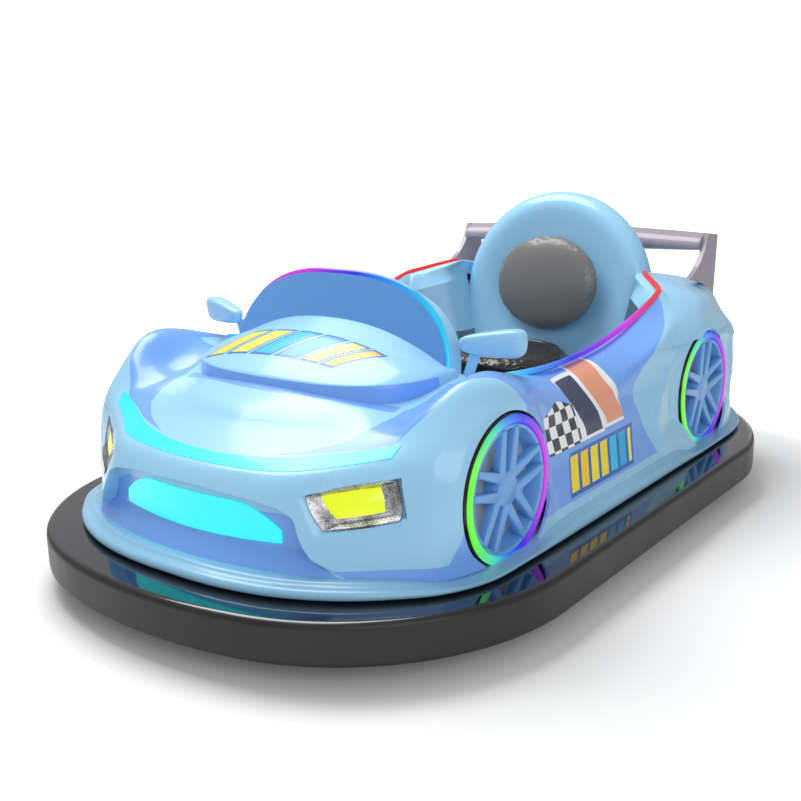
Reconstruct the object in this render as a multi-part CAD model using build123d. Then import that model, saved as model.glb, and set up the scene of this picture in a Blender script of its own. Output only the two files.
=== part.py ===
from build123d import *
from functools import cache
from math import cos, radians, sin, sqrt
import os

# Battery bumper car. Millimetres. +X forward, +Y to the driver's left, +Z up.
# The origin is on the floor, under the middle of the bumper ring.

# Bumper ring and the chassis inside it
LENGTH = 2000
WIDTH = 1234
RING_BOTTOM = 48
RING_TOP = 134
RING_THICK = 125
RING_EDGE = 14
HOOP_THICK = 10
FLOOR_Z = 92
FLOOR_THICK = 4
RAIL_Y = 205
RAIL_BOTTOM = 52
TUBE_W = 30
TUBE_H = 20
CROSSMEMBER_X = (-705, -465, 15, 415, 805)

# Outline of the ring: nose and tail half lengths, side, and the radii of the four tangent arcs
RING_OUTLINE = dict(front=LENGTH / 2, rear=-LENGTH / 2, side=WIDTH / 2,
                    nose_r=1000, corner_r=500, tail_r=625, rear_r=300)

# Body mouldings
LIP_BOTTOM = RING_TOP + 0.3
LIP_TOP = 172
LIP_WIDTH = 62
LIP_ROUND = 20
WALL = 9
NOSE_SPLIT = 262
REAR_SPLIT = -330
JOINT_GAP = 1.0
LIP_OUTLINE = dict(front=940, rear=-878, side=536, nose_r=950, corner_r=430, tail_r=815, rear_r=195)

# Levels of the body's outer walls: height and the outline's arcs at that height
BODY_LEVELS = [
    # z, front, rear, side, nose_r, corner_r, tail_r, rear_r
    (LIP_TOP - 6, 915, -862, 520, 950, 380, 800, 180),
    (250, 872, -868, 516, 1100, 300, 800, 170),
    (345, 838, -866, 508, 1100, 250, 800, 160),
    (470, 775, -820, 492, 1000, 220, 800, 150),
    (600, 700, -760, 470, 900, 200, 800, 140),
]

# Upper surface of the body, left half: shoulder, crest and inner end of the side's top arc,
# and the height on the centre line
NOSE_STATIONS = [
    # x, y_shoulder, z_shoulder, y_crest, z_crest, y_in, z_in, z_mid
    (262, 520, 300, 425, 436, 335, 446, 560),
    (400, 520, 385, 428, 466, 330, 450, 516),
    (510, 520, 400, 424, 494, 325, 430, 470),
    (640, 512, 368, 414, 450, 320, 398, 430),
    (720, 505, 322, 404, 372, 315, 370, 393),
    (800, 480, 290, 390, 344, 290, 344, 352),
    (960, 440, 240, 350, 275, 250, 285, 290),
]
DOOR_STATIONS = [
    (-330, 520, 330, 400, 508, 325, 515, 560),
    (-20, 520, 240, 408, 424, 335, 430, 560),
    (262, 520, 300, 425, 436, 335, 446, 560),
]
TAIL_STATIONS = [
    (-960, 490, 225, 370, 290, 280, 305, 320),
    (-850, 500, 270, 380, 365, 290, 385, 400),
    (-740, 508, 335, 385, 478, 300, 485, 490),
    (-640, 515, 380, 395, 515, 305, 525, 530),
    (-540, 520, 400, 395, 540, 310, 549, 550),
    (-330, 520, 330, 400, 508, 325, 515, 560),
]

# Bonnet: a raised dome with a front lip, on the nose moulding
HOOD_STATIONS = [
    # x, z_edge, z_mid
    (320, 440, 592),
    (417, 450, 553),
    (520, 447, 506),
    (600, 430, 464),
    (690, 396, 414),
]
HOOD_HALF = 340
HOOD_LIP = (634, 0)
HOOD_CORNER = (543, 304)
HOOD_REAR = (380, 318)

# Cockpit, open at the top: plan outline and floor
COCKPIT_FRONT = 395
COCKPIT_REAR = -500
COCKPIT_HALF = 365
COCKPIT_FRONT_CORNER = 200
COCKPIT_REAR_CORNER = 110

# Ornamental side wheels, fixed to the body
SIDE_WHEEL_R = 147
SIDE_LIGHT_R = 144
SIDE_RIM_R = 124
SIDE_WHEEL_Z = 281
SIDE_WHEEL_FACE = 511
SIDE_WHEEL_DEPTH = 40
SIDE_WHEELS = [("front", 511), ("rear", -434)]
SPOKES = 5

# Nose lamps, drawn in the front view
STRIP_HALF = 372
STRIP_END_Z = 390
STRIP_MID_Z = 338
STRIP_TALL = 16
STRIP_DEPTH = 5
FASCIA_HALF_TOP = 246
FASCIA_HALF_LOW = 305
FASCIA_TOP = 280
FASCIA_END_Z = 260
FASCIA_LOW = 150
FASCIA_DEPTH = 10
GRILLE_HALF = 228
GRILLE_END_Z = 230
GRILLE_END = 26
GRILLE_TOP = 269
GRILLE_LOW = 198
GRILLE_DEPTH = 6
TAIL_LAMP = (262, 398, 262, 306)
TAIL_LAMP_DEPTH = 10
LAMP_CORNERS = [(290, 318), (400, 345), (428, 290), (322, 262)]
LAMP_ROUND = 12
LAMP_RIM = 12
LAMP_DEPTH = 26

# Light strip on the cockpit's edge
RIM_INSET = 34
RIM_WIDE = 9
RIM_TALL = 10
RIM_FRONT = 340

# Windscreen, leaning back
SCREEN_R = 420
SCREEN_BASE_X = 417
SCREEN_BASE_Z = 551
SCREEN_LEAN = 0.99
SCREEN_THICK = 12
SCREEN_EDGE = 7
SCREEN_HALF_LOW = 312
SCREEN_SHOULDER_Z = 462
SCREEN_HALF_TOP = 185
SCREEN_TOP_Z = 632
SCREEN_FOOT_Z = 440
COWL_THICK = 46

# Mirrors and rear wing
MIRROR_CENTRE = (359, 384, 518)
MIRROR_HEAD = (54, 130, 48)
MIRROR_ROUND = 21
MIRROR_STALK_R = 11
FIN_Y = 385
FIN_THICK = 14
WING_MIDDLE = (-714, 613)
WING_HALF_CHORD = 46
WING_HALF_THICK = 13
WING_PITCH = 4

# Running gear
DRIVE_X = 590
DRIVE_WHEEL_R = 100
DRIVE_WHEEL_W = 60
BRIDGE_Z = 236
STUB_R = 20
REAR_AXLE_X = -600
REAR_TRACK_HALF = 290
REAR_WHEEL_R = 80
REAR_WHEEL_W = 50
BRACKET_THICK = 6
BRACKET_OFFSET = 38
AXLE_R = 10
RUNNING = 0.05

# Controls
STEERING_CENTRE = (205, 0, 455)
STEERING_TILT = 60
STEERING_R = 130
STEERING_GRIP_R = 13
SHAFT_R = 10
COLUMN_LENGTH = 400
JACKET_LENGTH = 300
GEARBOX = (535, 625, 42, 60)
GEARBOX_WALL = 5
BULKHEAD_X = 418
BULKHEAD_TOP = 430
DASH_HALF = 292

# Seat
BACK_R = 292
BACK_CENTRE = (-560, 0, 462)
BACK_TILT = 8
BACK_THICK = 84
PAD_HALF_WIDE = 156
PAD_HALF_TALL = 138
PAD_UP = 36
PAD_RISE = 40
PAD_SUNK = 8
CUSHION_R = 175
CUSHION_X = -300
CUSHION_THICK = 52
SEAT_TOP = 300
SEAT_FRONT = -110

parts = {}


def keep(node, shape):
    """Files one sub-part under its node's name."""
    parts[node] = shape


def outline(front, rear, side, nose_r, corner_r, tail_r, rear_r, inset=0, z=0):
    """Closed outline of eight tangent pieces, parallel to itself for any inset."""
    front, rear, side = front - inset, rear + inset, side - inset
    nose_r, corner_r, tail_r, rear_r = (r - inset for r in (nose_r, corner_r, tail_r, rear_r))
    nose_x, tail_x = front - nose_r, rear + tail_r
    corner_y, rear_y = side - corner_r, side - rear_r
    corner_x = nose_x + sqrt((nose_r - corner_r) ** 2 - corner_y ** 2)
    rear_x = tail_x - sqrt((tail_r - rear_r) ** 2 - rear_y ** 2)

    def blend(cx, cy, r, fx, big_r):
        """End and middle points of a corner arc between a big arc about fx and the side."""
        dx, dy = cx - fx, cy
        far = sqrt(dx * dx + dy * dy)
        ux, uy = dx / far, dy / far
        mx, my = ux, uy + 1
        mid = sqrt(mx * mx + my * my)
        return (fx + ux * big_r, uy * big_r), (cx + r * mx / mid, cy + r * my / mid), (cx, cy + r)

    nose_end, corner_mid, side_front = blend(corner_x, corner_y, corner_r, nose_x, nose_r)
    tail_end, rear_mid, side_rear = blend(rear_x, rear_y, rear_r, tail_x, tail_r)

    def mirrored(point):
        return point[0], -point[1]

    edges = [
        ThreePointArc(mirrored(nose_end), (front, 0), nose_end),
        ThreePointArc(nose_end, corner_mid, side_front),
        Line(side_front, side_rear),
        ThreePointArc(side_rear, rear_mid, tail_end),
        ThreePointArc(tail_end, (rear, 0), mirrored(tail_end)),
        ThreePointArc(mirrored(tail_end), mirrored(rear_mid), mirrored(side_rear)),
        Line(mirrored(side_rear), mirrored(side_front)),
        ThreePointArc(mirrored(side_front), mirrored(corner_mid), mirrored(nose_end)),
    ]
    return Pos(0, 0, z) * make_face(edges)


def ring(outer_inset, inner_inset, bottom, top, shape):
    """Upright band between two parallel outlines."""
    outer = extrude(outline(**shape, inset=outer_inset, z=bottom), top - bottom)
    inner = extrude(outline(**shape, inset=inner_inset, z=bottom - 1), top - bottom + 2)
    return outer - inner


def box(x0, x1, y0, y1, z0, z1):
    """Block between two corners."""
    return Pos((x0 + x1) / 2, (y0 + y1) / 2, (z0 + z1) / 2) * Box(x1 - x0, y1 - y0, z1 - z0)


def disc(x, y0, y1, z, radius):
    """Cylinder along Y."""
    return Pos(x, (y0 + y1) / 2, z) * Rot(90, 0, 0) * Cylinder(radius, y1 - y0)


def both(shape):
    """The shape and its mirror image on the right side."""
    return shape + mirror(shape, Plane.XZ)


# ---------------------------------------------------------------- bumper and chassis

def bumper():
    solid = ring(0, RING_THICK, RING_BOTTOM, RING_TOP, RING_OUTLINE)
    outer = [e for e in solid.edges().filter_by(lambda e: e.center().Z > RING_TOP - 1
                                                or e.center().Z < RING_BOTTOM + 1)
             if is_outer(e)]
    return fillet(outer, RING_EDGE)


def is_outer(edge):
    """True for an edge on the ring's outer outline: it is longer than its inner partner."""
    point = edge @ 0.5
    inner = outline(**RING_OUTLINE, inset=RING_THICK / 2)
    return not inner.is_inside(Vector(point.X, point.Y, 0))


def chassis():
    hoop = ring(RING_THICK + 0.5, RING_THICK + 0.5 + HOOP_THICK, RING_BOTTOM + 8, RING_TOP - 6, RING_OUTLINE)
    keep("chassis_hoop", hoop)
    inset = RING_THICK + HOOP_THICK + 1
    rear_cross, seat_cross, _, front_cross, _ = CROSSMEMBER_X
    inside = extrude(outline(**RING_OUTLINE, inset=inset), 400)
    plate_z = (FLOOR_Z, FLOOR_Z + FLOOR_THICK)
    floor = box(seat_cross, front_cross + TUBE_W / 2, -600, 600, *plate_z) & inside
    tray_half = RAIL_Y + TUBE_W / 2
    tray = box(rear_cross - 95, seat_cross - 2, -tray_half, tray_half, *plate_z)
    keep("floor_plate", floor + tray)
    inside = extrude(outline(**RING_OUTLINE, inset=inset + 1), 400)
    deck = RAIL_BOTTOM + TUBE_H
    rail = box(-900, 900, RAIL_Y - TUBE_W / 2, RAIL_Y + TUBE_W / 2, RAIL_BOTTOM, deck)
    keep("chassis_rails", both(rail) & inside)
    tubes = [box(x - TUBE_W / 2, x + TUBE_W / 2, -600, 600, deck, FLOOR_Z) for x in CROSSMEMBER_X]
    keep("chassis_crossmembers", (tubes[0] + tubes[1:]) & inside)


# ---------------------------------------------------------------- body mouldings

@cache
def envelope(inset=0, bottom=0):
    """Everything inside the body's outer walls."""
    levels = []
    for z, front, rear, side, nose_r, corner_r, tail_r, rear_r in BODY_LEVELS:
        levels.append(outline(front, rear, side, nose_r, corner_r, tail_r, rear_r, inset, z + bottom))
    return loft(levels)


def upper_section(x, y_shoulder, z_shoulder, y_crest, z_crest, y_in, z_in, z_mid, drop=0):
    """Cross-section of the body's top at x, closed well below and outside the body."""
    side = 640
    bottom = 100
    low = z_shoulder - 55 - drop

    def half(sign):
        shoulder = (sign * y_shoulder, z_shoulder - drop)
        crest = (sign * y_crest, z_crest - drop)
        inner = (sign * y_in, z_in - drop)
        return [Line((sign * side, bottom), (sign * side, low)), Line((sign * side, low), shoulder),
                ThreePointArc(shoulder, crest, inner)]

    left, right = half(1), half(-1)
    roof = ThreePointArc((y_in, z_in - drop), (0, z_mid - drop), (-y_in, z_in - drop))
    base = Line((-side, bottom), (side, bottom))
    return Plane((x, 0, 0), x_dir=(0, 1, 0), z_dir=(1, 0, 0)) * make_face(left + [roof] + right + [base])


def top_solid(stations, drop=0):
    return loft([upper_section(*row, drop=drop) for row in stations])


def moulding(stations, walls, inner_walls):
    """Outer and inner form of the moulding under one stretch of the body's top."""
    outer = top_solid(stations) & walls
    inner = top_solid(stations, drop=WALL) & inner_walls
    return outer, inner


@cache
def nose_core(depth):
    """The solid nose, this far under its surface; above it for a negative depth."""
    return top_solid(NOSE_STATIONS, drop=depth) & envelope(depth)


@cache
def hood_block():
    """Everything under the bonnet's top, within its plan outline."""
    sections = []
    for x, z_edge, z_mid in HOOD_STATIONS:
        left, right = (-HOOD_HALF, z_edge), (HOOD_HALF, z_edge)
        low_left, low_right = (-HOOD_HALF, 300), (HOOD_HALF, 300)
        edges = [ThreePointArc(left, (0, z_mid), right), Line(right, low_right),
                 Line(low_right, low_left), Line(low_left, left)]
        sections.append(Plane((x, 0, 0), x_dir=(0, 1, 0), z_dir=(1, 0, 0)) * make_face(edges))
    (lip_x, _), (corner_x, corner_y), (rear_x, rear_y) = HOOD_LIP, HOOD_CORNER, HOOD_REAR
    plan = make_face([ThreePointArc((corner_x, -corner_y), (lip_x, 0), (corner_x, corner_y)),
                      Line((corner_x, corner_y), (rear_x, rear_y)), Line((rear_x, rear_y), (rear_x, -rear_y)),
                      Line((rear_x, -rear_y), (corner_x, -corner_y))])
    return loft(sections) & extrude(plan, 700)


@cache
def cockpit_void():
    """The open cockpit, from the floor up."""
    plan = make_face([*Polyline((COCKPIT_REAR, -COCKPIT_HALF), (COCKPIT_FRONT, -COCKPIT_HALF),
                                (COCKPIT_FRONT, COCKPIT_HALF), (COCKPIT_REAR, COCKPIT_HALF),
                                (COCKPIT_REAR, -COCKPIT_HALF)).edges()])
    plan = fillet(plan.vertices().filter_by(lambda v: v.X > 0), COCKPIT_FRONT_CORNER)
    plan = fillet([v for v in plan.vertices() if v.X < COCKPIT_REAR + 1], COCKPIT_REAR_CORNER)
    return extrude(Pos(0, 0, FLOOR_Z) * plan, 700)


def wheel_pockets():
    """Shallow round pockets in the body's sides for the ornamental wheels."""
    return [both(disc(x, SIDE_WHEEL_FACE - SIDE_WHEEL_DEPTH - 4, 660, SIDE_WHEEL_Z, SIDE_WHEEL_R + 3))
            for _, x in SIDE_WHEELS]


def body():
    walls, inner_walls = envelope(), envelope(WALL, -1)
    pockets = wheel_pockets()
    linings = [both(disc(x, SIDE_WHEEL_FACE - SIDE_WHEEL_DEPTH - 4 - WALL, 660, SIDE_WHEEL_Z,
                         SIDE_WHEEL_R + 3 + WALL)) for _, x in SIDE_WHEELS]

    outer, inner = moulding(NOSE_STATIONS, walls, inner_walls)
    ahead = box(NOSE_SPLIT + JOINT_GAP, 1000, -700, 700, 0, 800)
    front = (outer & ahead) - (inner - linings[0]) - pockets[0] - cockpit_void()
    front -= recess(strip_shape(), STRIP_DEPTH) + both(recess(lamp_shape(), LAMP_DEPTH))
    front -= recess(fascia_shape(), FASCIA_DEPTH + 2 * WALL)
    keep("front_body", front - rim_band())
    keep("hood_panel", hood_block() - top_solid(NOSE_STATIONS) - cockpit_void())

    outer = top_solid(DOOR_STATIONS) & walls
    doors = outer & box(REAR_SPLIT, NOSE_SPLIT, -700, 700, 0, 800)
    doors -= cockpit_void()
    doors -= pockets[0] + pockets[1]
    doors -= rim_band()
    for solid in doors.solids():
        keep("left_side_panel" if solid.center().Y > 0 else "right_side_panel", solid)

    outer, inner = moulding(TAIL_STATIONS, walls, inner_walls)
    behind = box(-1000, REAR_SPLIT - JOINT_GAP, -700, 700, 0, 800)
    rear = (outer & behind) - (inner - linings[1]) - pockets[1]
    rear -= cockpit_void()
    rear -= backrest_space()
    rear -= rim_band()
    rear -= both(tail_lamp(0, TAIL_LAMP_DEPTH))
    keep("rear_body", rear)
    keep("tail_lights", both(tail_lamp(0.5, TAIL_LAMP_DEPTH - 0.5) & walls))

    lip = ring(0, LIP_WIDTH, LIP_BOTTOM, LIP_TOP - 6.5, LIP_OUTLINE)
    inboard = box(-1000, 1000, -SIDE_WHEEL_FACE - 3, SIDE_WHEEL_FACE + 3, 0, 600)
    top_outer = [e for e in lip.edges() if e.center().Z > LIP_TOP - 8 and lip_outer(e)]
    keep("body_lip", fillet(top_outer, LIP_ROUND) - (pockets[0] + pockets[1] & inboard))


def lip_outer(edge):
    """True for an edge on the lip's outer outline."""
    middle = outline(**LIP_OUTLINE, inset=LIP_WIDTH / 2)
    point = edge @ 0.5
    return not middle.is_inside(Vector(point.X, point.Y, 0))


# ---------------------------------------------------------------- lamps and light strips

def front_view(edges, x0, x1):
    """Prism along X of an outline drawn in the front view, in (y, z)."""
    face = Plane((x0, 0, 0), x_dir=(0, 1, 0), z_dir=(1, 0, 0)) * make_face(edges)
    return extrude(face, x1 - x0, dir=(1, 0, 0))


def strip_shape():
    """Curved band across the nose, in the front view."""
    y, z, low, tall = STRIP_HALF, STRIP_END_Z, STRIP_MID_Z, STRIP_TALL
    return [ThreePointArc((-y, z), (0, low), (y, z)), Line((y, z), (y, z - tall)),
            ThreePointArc((y, z - tall), (0, low - tall), (-y, z - tall)), Line((-y, z - tall), (-y, z))]


def fascia_shape(inset=0):
    """Opening across the lower front, wider towards the lip, in the front view."""
    y_top, y_low, z = FASCIA_HALF_TOP - inset, FASCIA_HALF_LOW - inset, FASCIA_END_Z - inset
    right, foot = (y_top, z), (y_low, FASCIA_LOW)
    return [ThreePointArc((-y_top, z), (0, FASCIA_TOP - inset), right), Line(right, foot),
            Line(foot, (-y_low, FASCIA_LOW)), Line((-y_low, FASCIA_LOW), (-y_top, z))]


def grille_shape(inset=0):
    """Wide lamp opening with drooping ends, in the front view."""
    y, end_z, top, low = GRILLE_HALF - inset, GRILLE_END_Z, GRILLE_TOP - inset, GRILLE_LOW + inset
    end_top, end_low = end_z + GRILLE_END - inset, end_z - GRILLE_END + inset
    inner = y - GRILLE_END
    return [ThreePointArc((-inner, end_top), (0, top), (inner, end_top)),
            ThreePointArc((inner, end_top), (y, end_z), (inner, end_low)),
            ThreePointArc((inner, end_low), (0, low), (-inner, end_low)),
            ThreePointArc((-inner, end_low), (-y, end_z), (-inner, end_top))]


def lamp_shape(inset=0):
    """Left headlamp, a rounded wedge in the front view."""
    corners = make_face([*Polyline(*LAMP_CORNERS, LAMP_CORNERS[0]).edges()])
    corners = fillet(corners.vertices(), LAMP_ROUND)
    if inset:
        corners = offset(corners, -inset)
    return [*corners.edges()]


def recess(edges, depth):
    """What a recess of this depth takes out of the nose."""
    return front_view(edges, 560, 1000) - nose_core(depth)


def inlay(edges, front, back):
    """Piece set in the nose, its front and back this far under the surface."""
    return (front_view(edges, 560, 1000) & nose_core(front)) - nose_core(back)


def tail_lamp(inset, depth):
    """Left tail lamp: a rounded block, its back this far under the body's rear surface."""
    y0, y1, z0, z1 = TAIL_LAMP
    block = box(-1000, -700, y0 + inset, y1 - inset, z0 + inset, z1 - inset)
    block = fillet(block.edges().filter_by(Axis.X), (z1 - z0) / 3)
    return block - envelope(depth)


def lamps():
    keep("nose_light_strip", inlay(strip_shape(), -3, STRIP_DEPTH - 0.5))
    panel = inlay(fascia_shape(0.5), FASCIA_DEPTH, FASCIA_DEPTH + WALL)
    keep("fascia_panel", panel - front_view(grille_shape(-0.5), 500, 1000))
    keep("grille_light", inlay(grille_shape(), GRILLE_DEPTH, FASCIA_DEPTH + WALL))
    bezel = inlay(lamp_shape(0.5), LAMP_DEPTH - 8, LAMP_DEPTH - 0.5)
    rim = inlay(lamp_shape(0.5), 2, LAMP_DEPTH - 7)
    rim -= front_view(lamp_shape(LAMP_RIM), 550, 1010)
    keep("headlight_bezels", both(bezel + rim))
    keep("headlight_lenses", both(inlay(lamp_shape(LAMP_RIM + 1), 6, LAMP_DEPTH - 10)))


def rim_band(grow=0.5):
    """Light strip along the top edge of the cockpit's sides."""
    side = make_face([ThreePointArc((RIM_FRONT, 452), (40, 420), (-362, 520)),
                      Line((-362, 520), (-620, 566)), Line((-620, 566), (-620, 560 - RIM_TALL)),
                      Line((-620, 560 - RIM_TALL), (-362, 516 - RIM_TALL)),
                      ThreePointArc((-362, 516 - RIM_TALL), (40, 416 - RIM_TALL), (RIM_FRONT, 448 - RIM_TALL)),
                      Line((RIM_FRONT, 448 - RIM_TALL), (RIM_FRONT, 452))])
    tall = extrude(Plane((0, 700, 0), x_dir=(1, 0, 0), z_dir=(0, -1, 0)) * side, 1400)
    reach = COCKPIT_HALF + RIM_INSET
    corner = COCKPIT_REAR_CORNER + RIM_INSET

    def plan(grown):
        y, r, x = reach + grown, corner + grown, COCKPIT_REAR - RIM_INSET - grown
        c = r * (1 - sqrt(0.5))
        return [Line((500, y), (x + r, y)), ThreePointArc((x + r, y), (x + c, y - c), (x, y - r)),
                Line((x, y - r), (x, 0)), Line((x, 0), (500, 0)), Line((500, 0), (500, y))]

    band = extrude(make_face(plan(RIM_WIDE / 2 + grow)), 700) - Pos(0, 0, -1) * extrude(
        make_face(plan(-RIM_WIDE / 2 - grow)), 702)
    band -= box(-700, 600, -100, 245, 0, 720)
    return both(band) & tall


def rim_lights():
    for solid in (rim_band(0) - backrest_space()).solids():
        keep("left_rim_light" if solid.center().Y > 0 else "right_rim_light", solid)


# ---------------------------------------------------------------- windscreen and cowl

def screen_slab(forward, thick):
    """Curved slab leaning back, its front face this far ahead of the windscreen's."""
    r = SCREEN_R
    half = COCKPIT_HALF - 20

    def crescent(z, front):
        back = front - (r - sqrt(r * r - half * half))
        edge = [ThreePointArc((back, -half), (front, 0), (back, half)), Line((back, half), (back - 400, half)),
                Line((back - 400, half), (back - 400, -half)), Line((back - 400, -half), (back, -half))]
        return Pos(0, 0, z) * make_face(edge)

    def solid(shift):
        low = SCREEN_BASE_X + (SCREEN_BASE_Z - 400) * SCREEN_LEAN + shift
        return loft([crescent(400, low), crescent(700, low - 300 * SCREEN_LEAN)])

    return solid(forward) - solid(forward - thick)


def screen_outline(inset=0):
    """Front view of the windscreen: a trapezium with rounded top corners."""
    low, base, top = 380, SCREEN_HALF_LOW, SCREEN_HALF_TOP
    corners = [(-base, low), (base, low), (base, SCREEN_SHOULDER_Z), (top, SCREEN_TOP_Z), (-top, SCREEN_TOP_Z),
               (-base, SCREEN_SHOULDER_Z)]
    face = make_face([*Polyline(*corners, corners[0]).edges()])
    face = fillet([v for v in face.vertices() if v.Y > SCREEN_TOP_Z - 1], 70)
    if inset:
        face = offset(face, -inset)
    return [*face.edges()]


def windscreen():
    bonnet = top_solid(NOSE_STATIONS) + hood_block()
    over = box(200, 700, -COCKPIT_HALF, COCKPIT_HALF, SCREEN_FOOT_Z, 700)
    pane = screen_slab(0, SCREEN_THICK) & front_view(screen_outline(SCREEN_EDGE), 0, 700)
    keep("windscreen", (pane & over) - bonnet)
    edge = screen_slab(2, SCREEN_THICK + 2) & front_view(screen_outline(), 0, 700)
    edge -= front_view(screen_outline(SCREEN_EDGE - 0.3), -10, 710)
    keep("windscreen_light", (edge & over) - bonnet)
    cowl = screen_slab(-SCREEN_THICK - 0.5, COWL_THICK) & front_view(screen_outline(1), 0, 700)
    keep("cowl_moulding", (cowl & over) - bonnet - box(100, 600, -330, 330, 380, 470))


# ---------------------------------------------------------------- seat

def backrest_space():
    """The backrest's disc with a little room round it, and the way forward out of it."""
    x, y, z = BACK_CENTRE
    space = Cylinder(BACK_R + 1, BACK_THICK + 60, align=(Align.CENTER, Align.CENTER, Align.MIN))
    return Pos(x, y, z) * Rot(0, 90 - BACK_TILT, 0) * Pos(0, 0, -BACK_THICK / 2 - 1) * space


def seat():
    x, y, z = BACK_CENTRE
    place = Pos(x, y, z) * Rot(0, 90 - BACK_TILT, 0)
    face = Pos(-PAD_UP, 0, BACK_THICK / 2)
    shell = Cylinder(BACK_R, BACK_THICK)
    shell = fillet(shell.edges().filter_by(GeomType.CIRCLE), BACK_THICK / 2 - 2)
    shell -= face * extrude(Ellipse(PAD_HALF_TALL + 4, PAD_HALF_WIDE + 4), PAD_SUNK, both=True)
    keep("backrest_shell", (place * shell) - box(-900, 0, -400, 400, 0, SEAT_TOP + 1))
    tall = PAD_SUNK + PAD_RISE
    dome_r = (PAD_HALF_WIDE ** 2 + tall ** 2) / (2 * tall)
    pad = extrude(Ellipse(PAD_HALF_TALL, PAD_HALF_WIDE), tall) & Pos(0, 0, tall - dome_r) * Sphere(dome_r)
    keep("backrest_pad", place * face * Pos(0, 0, 0.3 - PAD_SUNK) * pad)

    base_z = FLOOR_Z + FLOOR_THICK + 0.5
    rear, half = COCKPIT_REAR + 4, COCKPIT_HALF - 4
    base = box(rear, SEAT_FRONT, -half, half, base_z, SEAT_TOP) & Pos(4, 0, 0) * cockpit_void()
    top_front = base.edges().filter_by(Axis.Y).sort_by(Axis.X)[-2:].sort_by(Axis.Z)[-1:]
    base = fillet(top_front, 40)
    base -= box(rear + 60, SEAT_FRONT - WALL, -half + 16, half - 16, 0, SEAT_TOP - WALL)
    keep("seat_base", base)
    cushion = Pos(CUSHION_X, 0, SEAT_TOP + 0.3) * Cylinder(
        CUSHION_R, CUSHION_THICK, align=(Align.CENTER, Align.CENTER, Align.MIN))
    keep("seat_cushion", fillet(cushion.edges().filter_by(GeomType.CIRCLE).sort_by(Axis.Z)[-1:], 20))


# ---------------------------------------------------------------- side wheels, mirrors, rear wing

def side_wheels():
    tyres, rims, lights = None, None, None
    face, depth = SIDE_WHEEL_FACE, SIDE_WHEEL_DEPTH
    for _, x in SIDE_WHEELS:
        tyre = disc(x, face - depth, face - 4, SIDE_WHEEL_Z, SIDE_WHEEL_R)
        tyre -= disc(x, face - depth - 1, face + 1, SIDE_WHEEL_Z, SIDE_RIM_R + 0.3)
        tyre -= disc(x, face - 12, face + 1, SIDE_WHEEL_Z, SIDE_LIGHT_R + 0.3)
        light = disc(x, face - 11.5, face, SIDE_WHEEL_Z, SIDE_LIGHT_R)
        light -= disc(x, face - 13, face + 1, SIDE_WHEEL_Z, SIDE_RIM_R + 4)
        rim = side_rim(x)
        tyres = both(tyre) if tyres is None else tyres + both(tyre)
        lights = both(light) if lights is None else lights + both(light)
        rims = both(rim) if rims is None else rims + both(rim)
    above = box(-1000, 1000, -700, 700, LIP_BOTTOM + 1, 600)
    keep("side_wheel_tyres", tyres & above)
    keep("side_wheel_lights", lights & above)
    keep("side_wheel_rims", rims)


def side_rim(x):
    """Rim with five pairs of spokes and a hub cap, on a closed back plate."""
    r, depth = SIDE_RIM_R, SIDE_WHEEL_DEPTH
    rim = Cylinder(r, depth, align=(Align.CENTER, Align.CENTER, Align.MIN))
    rim -= Pos(0, 0, 6) * Cylinder(r - 7, depth)
    for k in range(SPOKES):
        for sway in (-13, 13):
            spoke = Pos((r - 4) / 2, 0, 0) * Box(r - 4, 11, 22, align=(Align.CENTER, Align.CENTER, Align.MIN))
            spoke = Pos(0, sway * 0.55, 8) * Rot(0, 0, sway * 0.45) * spoke
            rim += Rot(0, 0, 90 + 360 / SPOKES * k) * spoke
    rim += Cylinder(27, 33, align=(Align.CENTER, Align.CENTER, Align.MIN))
    rim &= Cylinder(r, 60, align=(Align.CENTER, Align.CENTER, Align.MIN))
    return Pos(x, SIDE_WHEEL_FACE - depth, SIDE_WHEEL_Z) * Rot(-90, 0, 0) * rim


def mirrors():
    """Door mirrors: a rounded head on a short stalk."""
    x, y, z = MIRROR_CENTRE
    head = Box(*MIRROR_HEAD)
    head = Pos(x, y, z) * Rot(0, 0, -12) * fillet(head.edges(), MIRROR_ROUND)
    stalk = Pos(x + 4, y - 40, z - 34) * Rot(-40, 0, 0) * Cylinder(MIRROR_STALK_R, 84)
    mirror_solid = (head + stalk) - top_solid(NOSE_STATIONS) - hood_block()
    keep("left_mirror", mirror_solid)
    keep("right_mirror", mirror(mirror_solid, Plane.XZ))


def rear_wing():
    fin = make_face([Line((-702, 641), (-768, 632)), Line((-768, 632), (-752, 430)),
                     Line((-752, 430), (-540, 430)), Line((-540, 430), (-540, 522)),
                     ThreePointArc((-540, 522), (-650, 566), (-702, 641))])
    plate = extrude(Plane((0, FIN_Y + FIN_THICK / 2, 0), x_dir=(1, 0, 0), z_dir=(0, -1, 0)) * fin, FIN_THICK)
    plate -= top_solid(TAIL_STATIONS)
    keep("wing_fins", both(plate))
    x, z = WING_MIDDLE
    half_span = FIN_Y - FIN_THICK / 2 - 0.2
    foil = Pos(x, z) * Rot(0, 0, WING_PITCH) * Ellipse(WING_HALF_CHORD, WING_HALF_THICK)
    wing = extrude(Plane((0, half_span, 0), x_dir=(1, 0, 0), z_dir=(0, -1, 0)) * foil, 2 * half_span)
    keep("rear_wing", wing)


# ---------------------------------------------------------------- steering and running gear

def column_place(distance):
    """Frame on the steering axis, this far below the wheel's centre, its Z up the column."""
    x, y, z = STEERING_CENTRE
    t = radians(STEERING_TILT)
    return Pos(x + distance * sin(t), y, z - distance * cos(t)) * Rot(0, -STEERING_TILT, 0)


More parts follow.
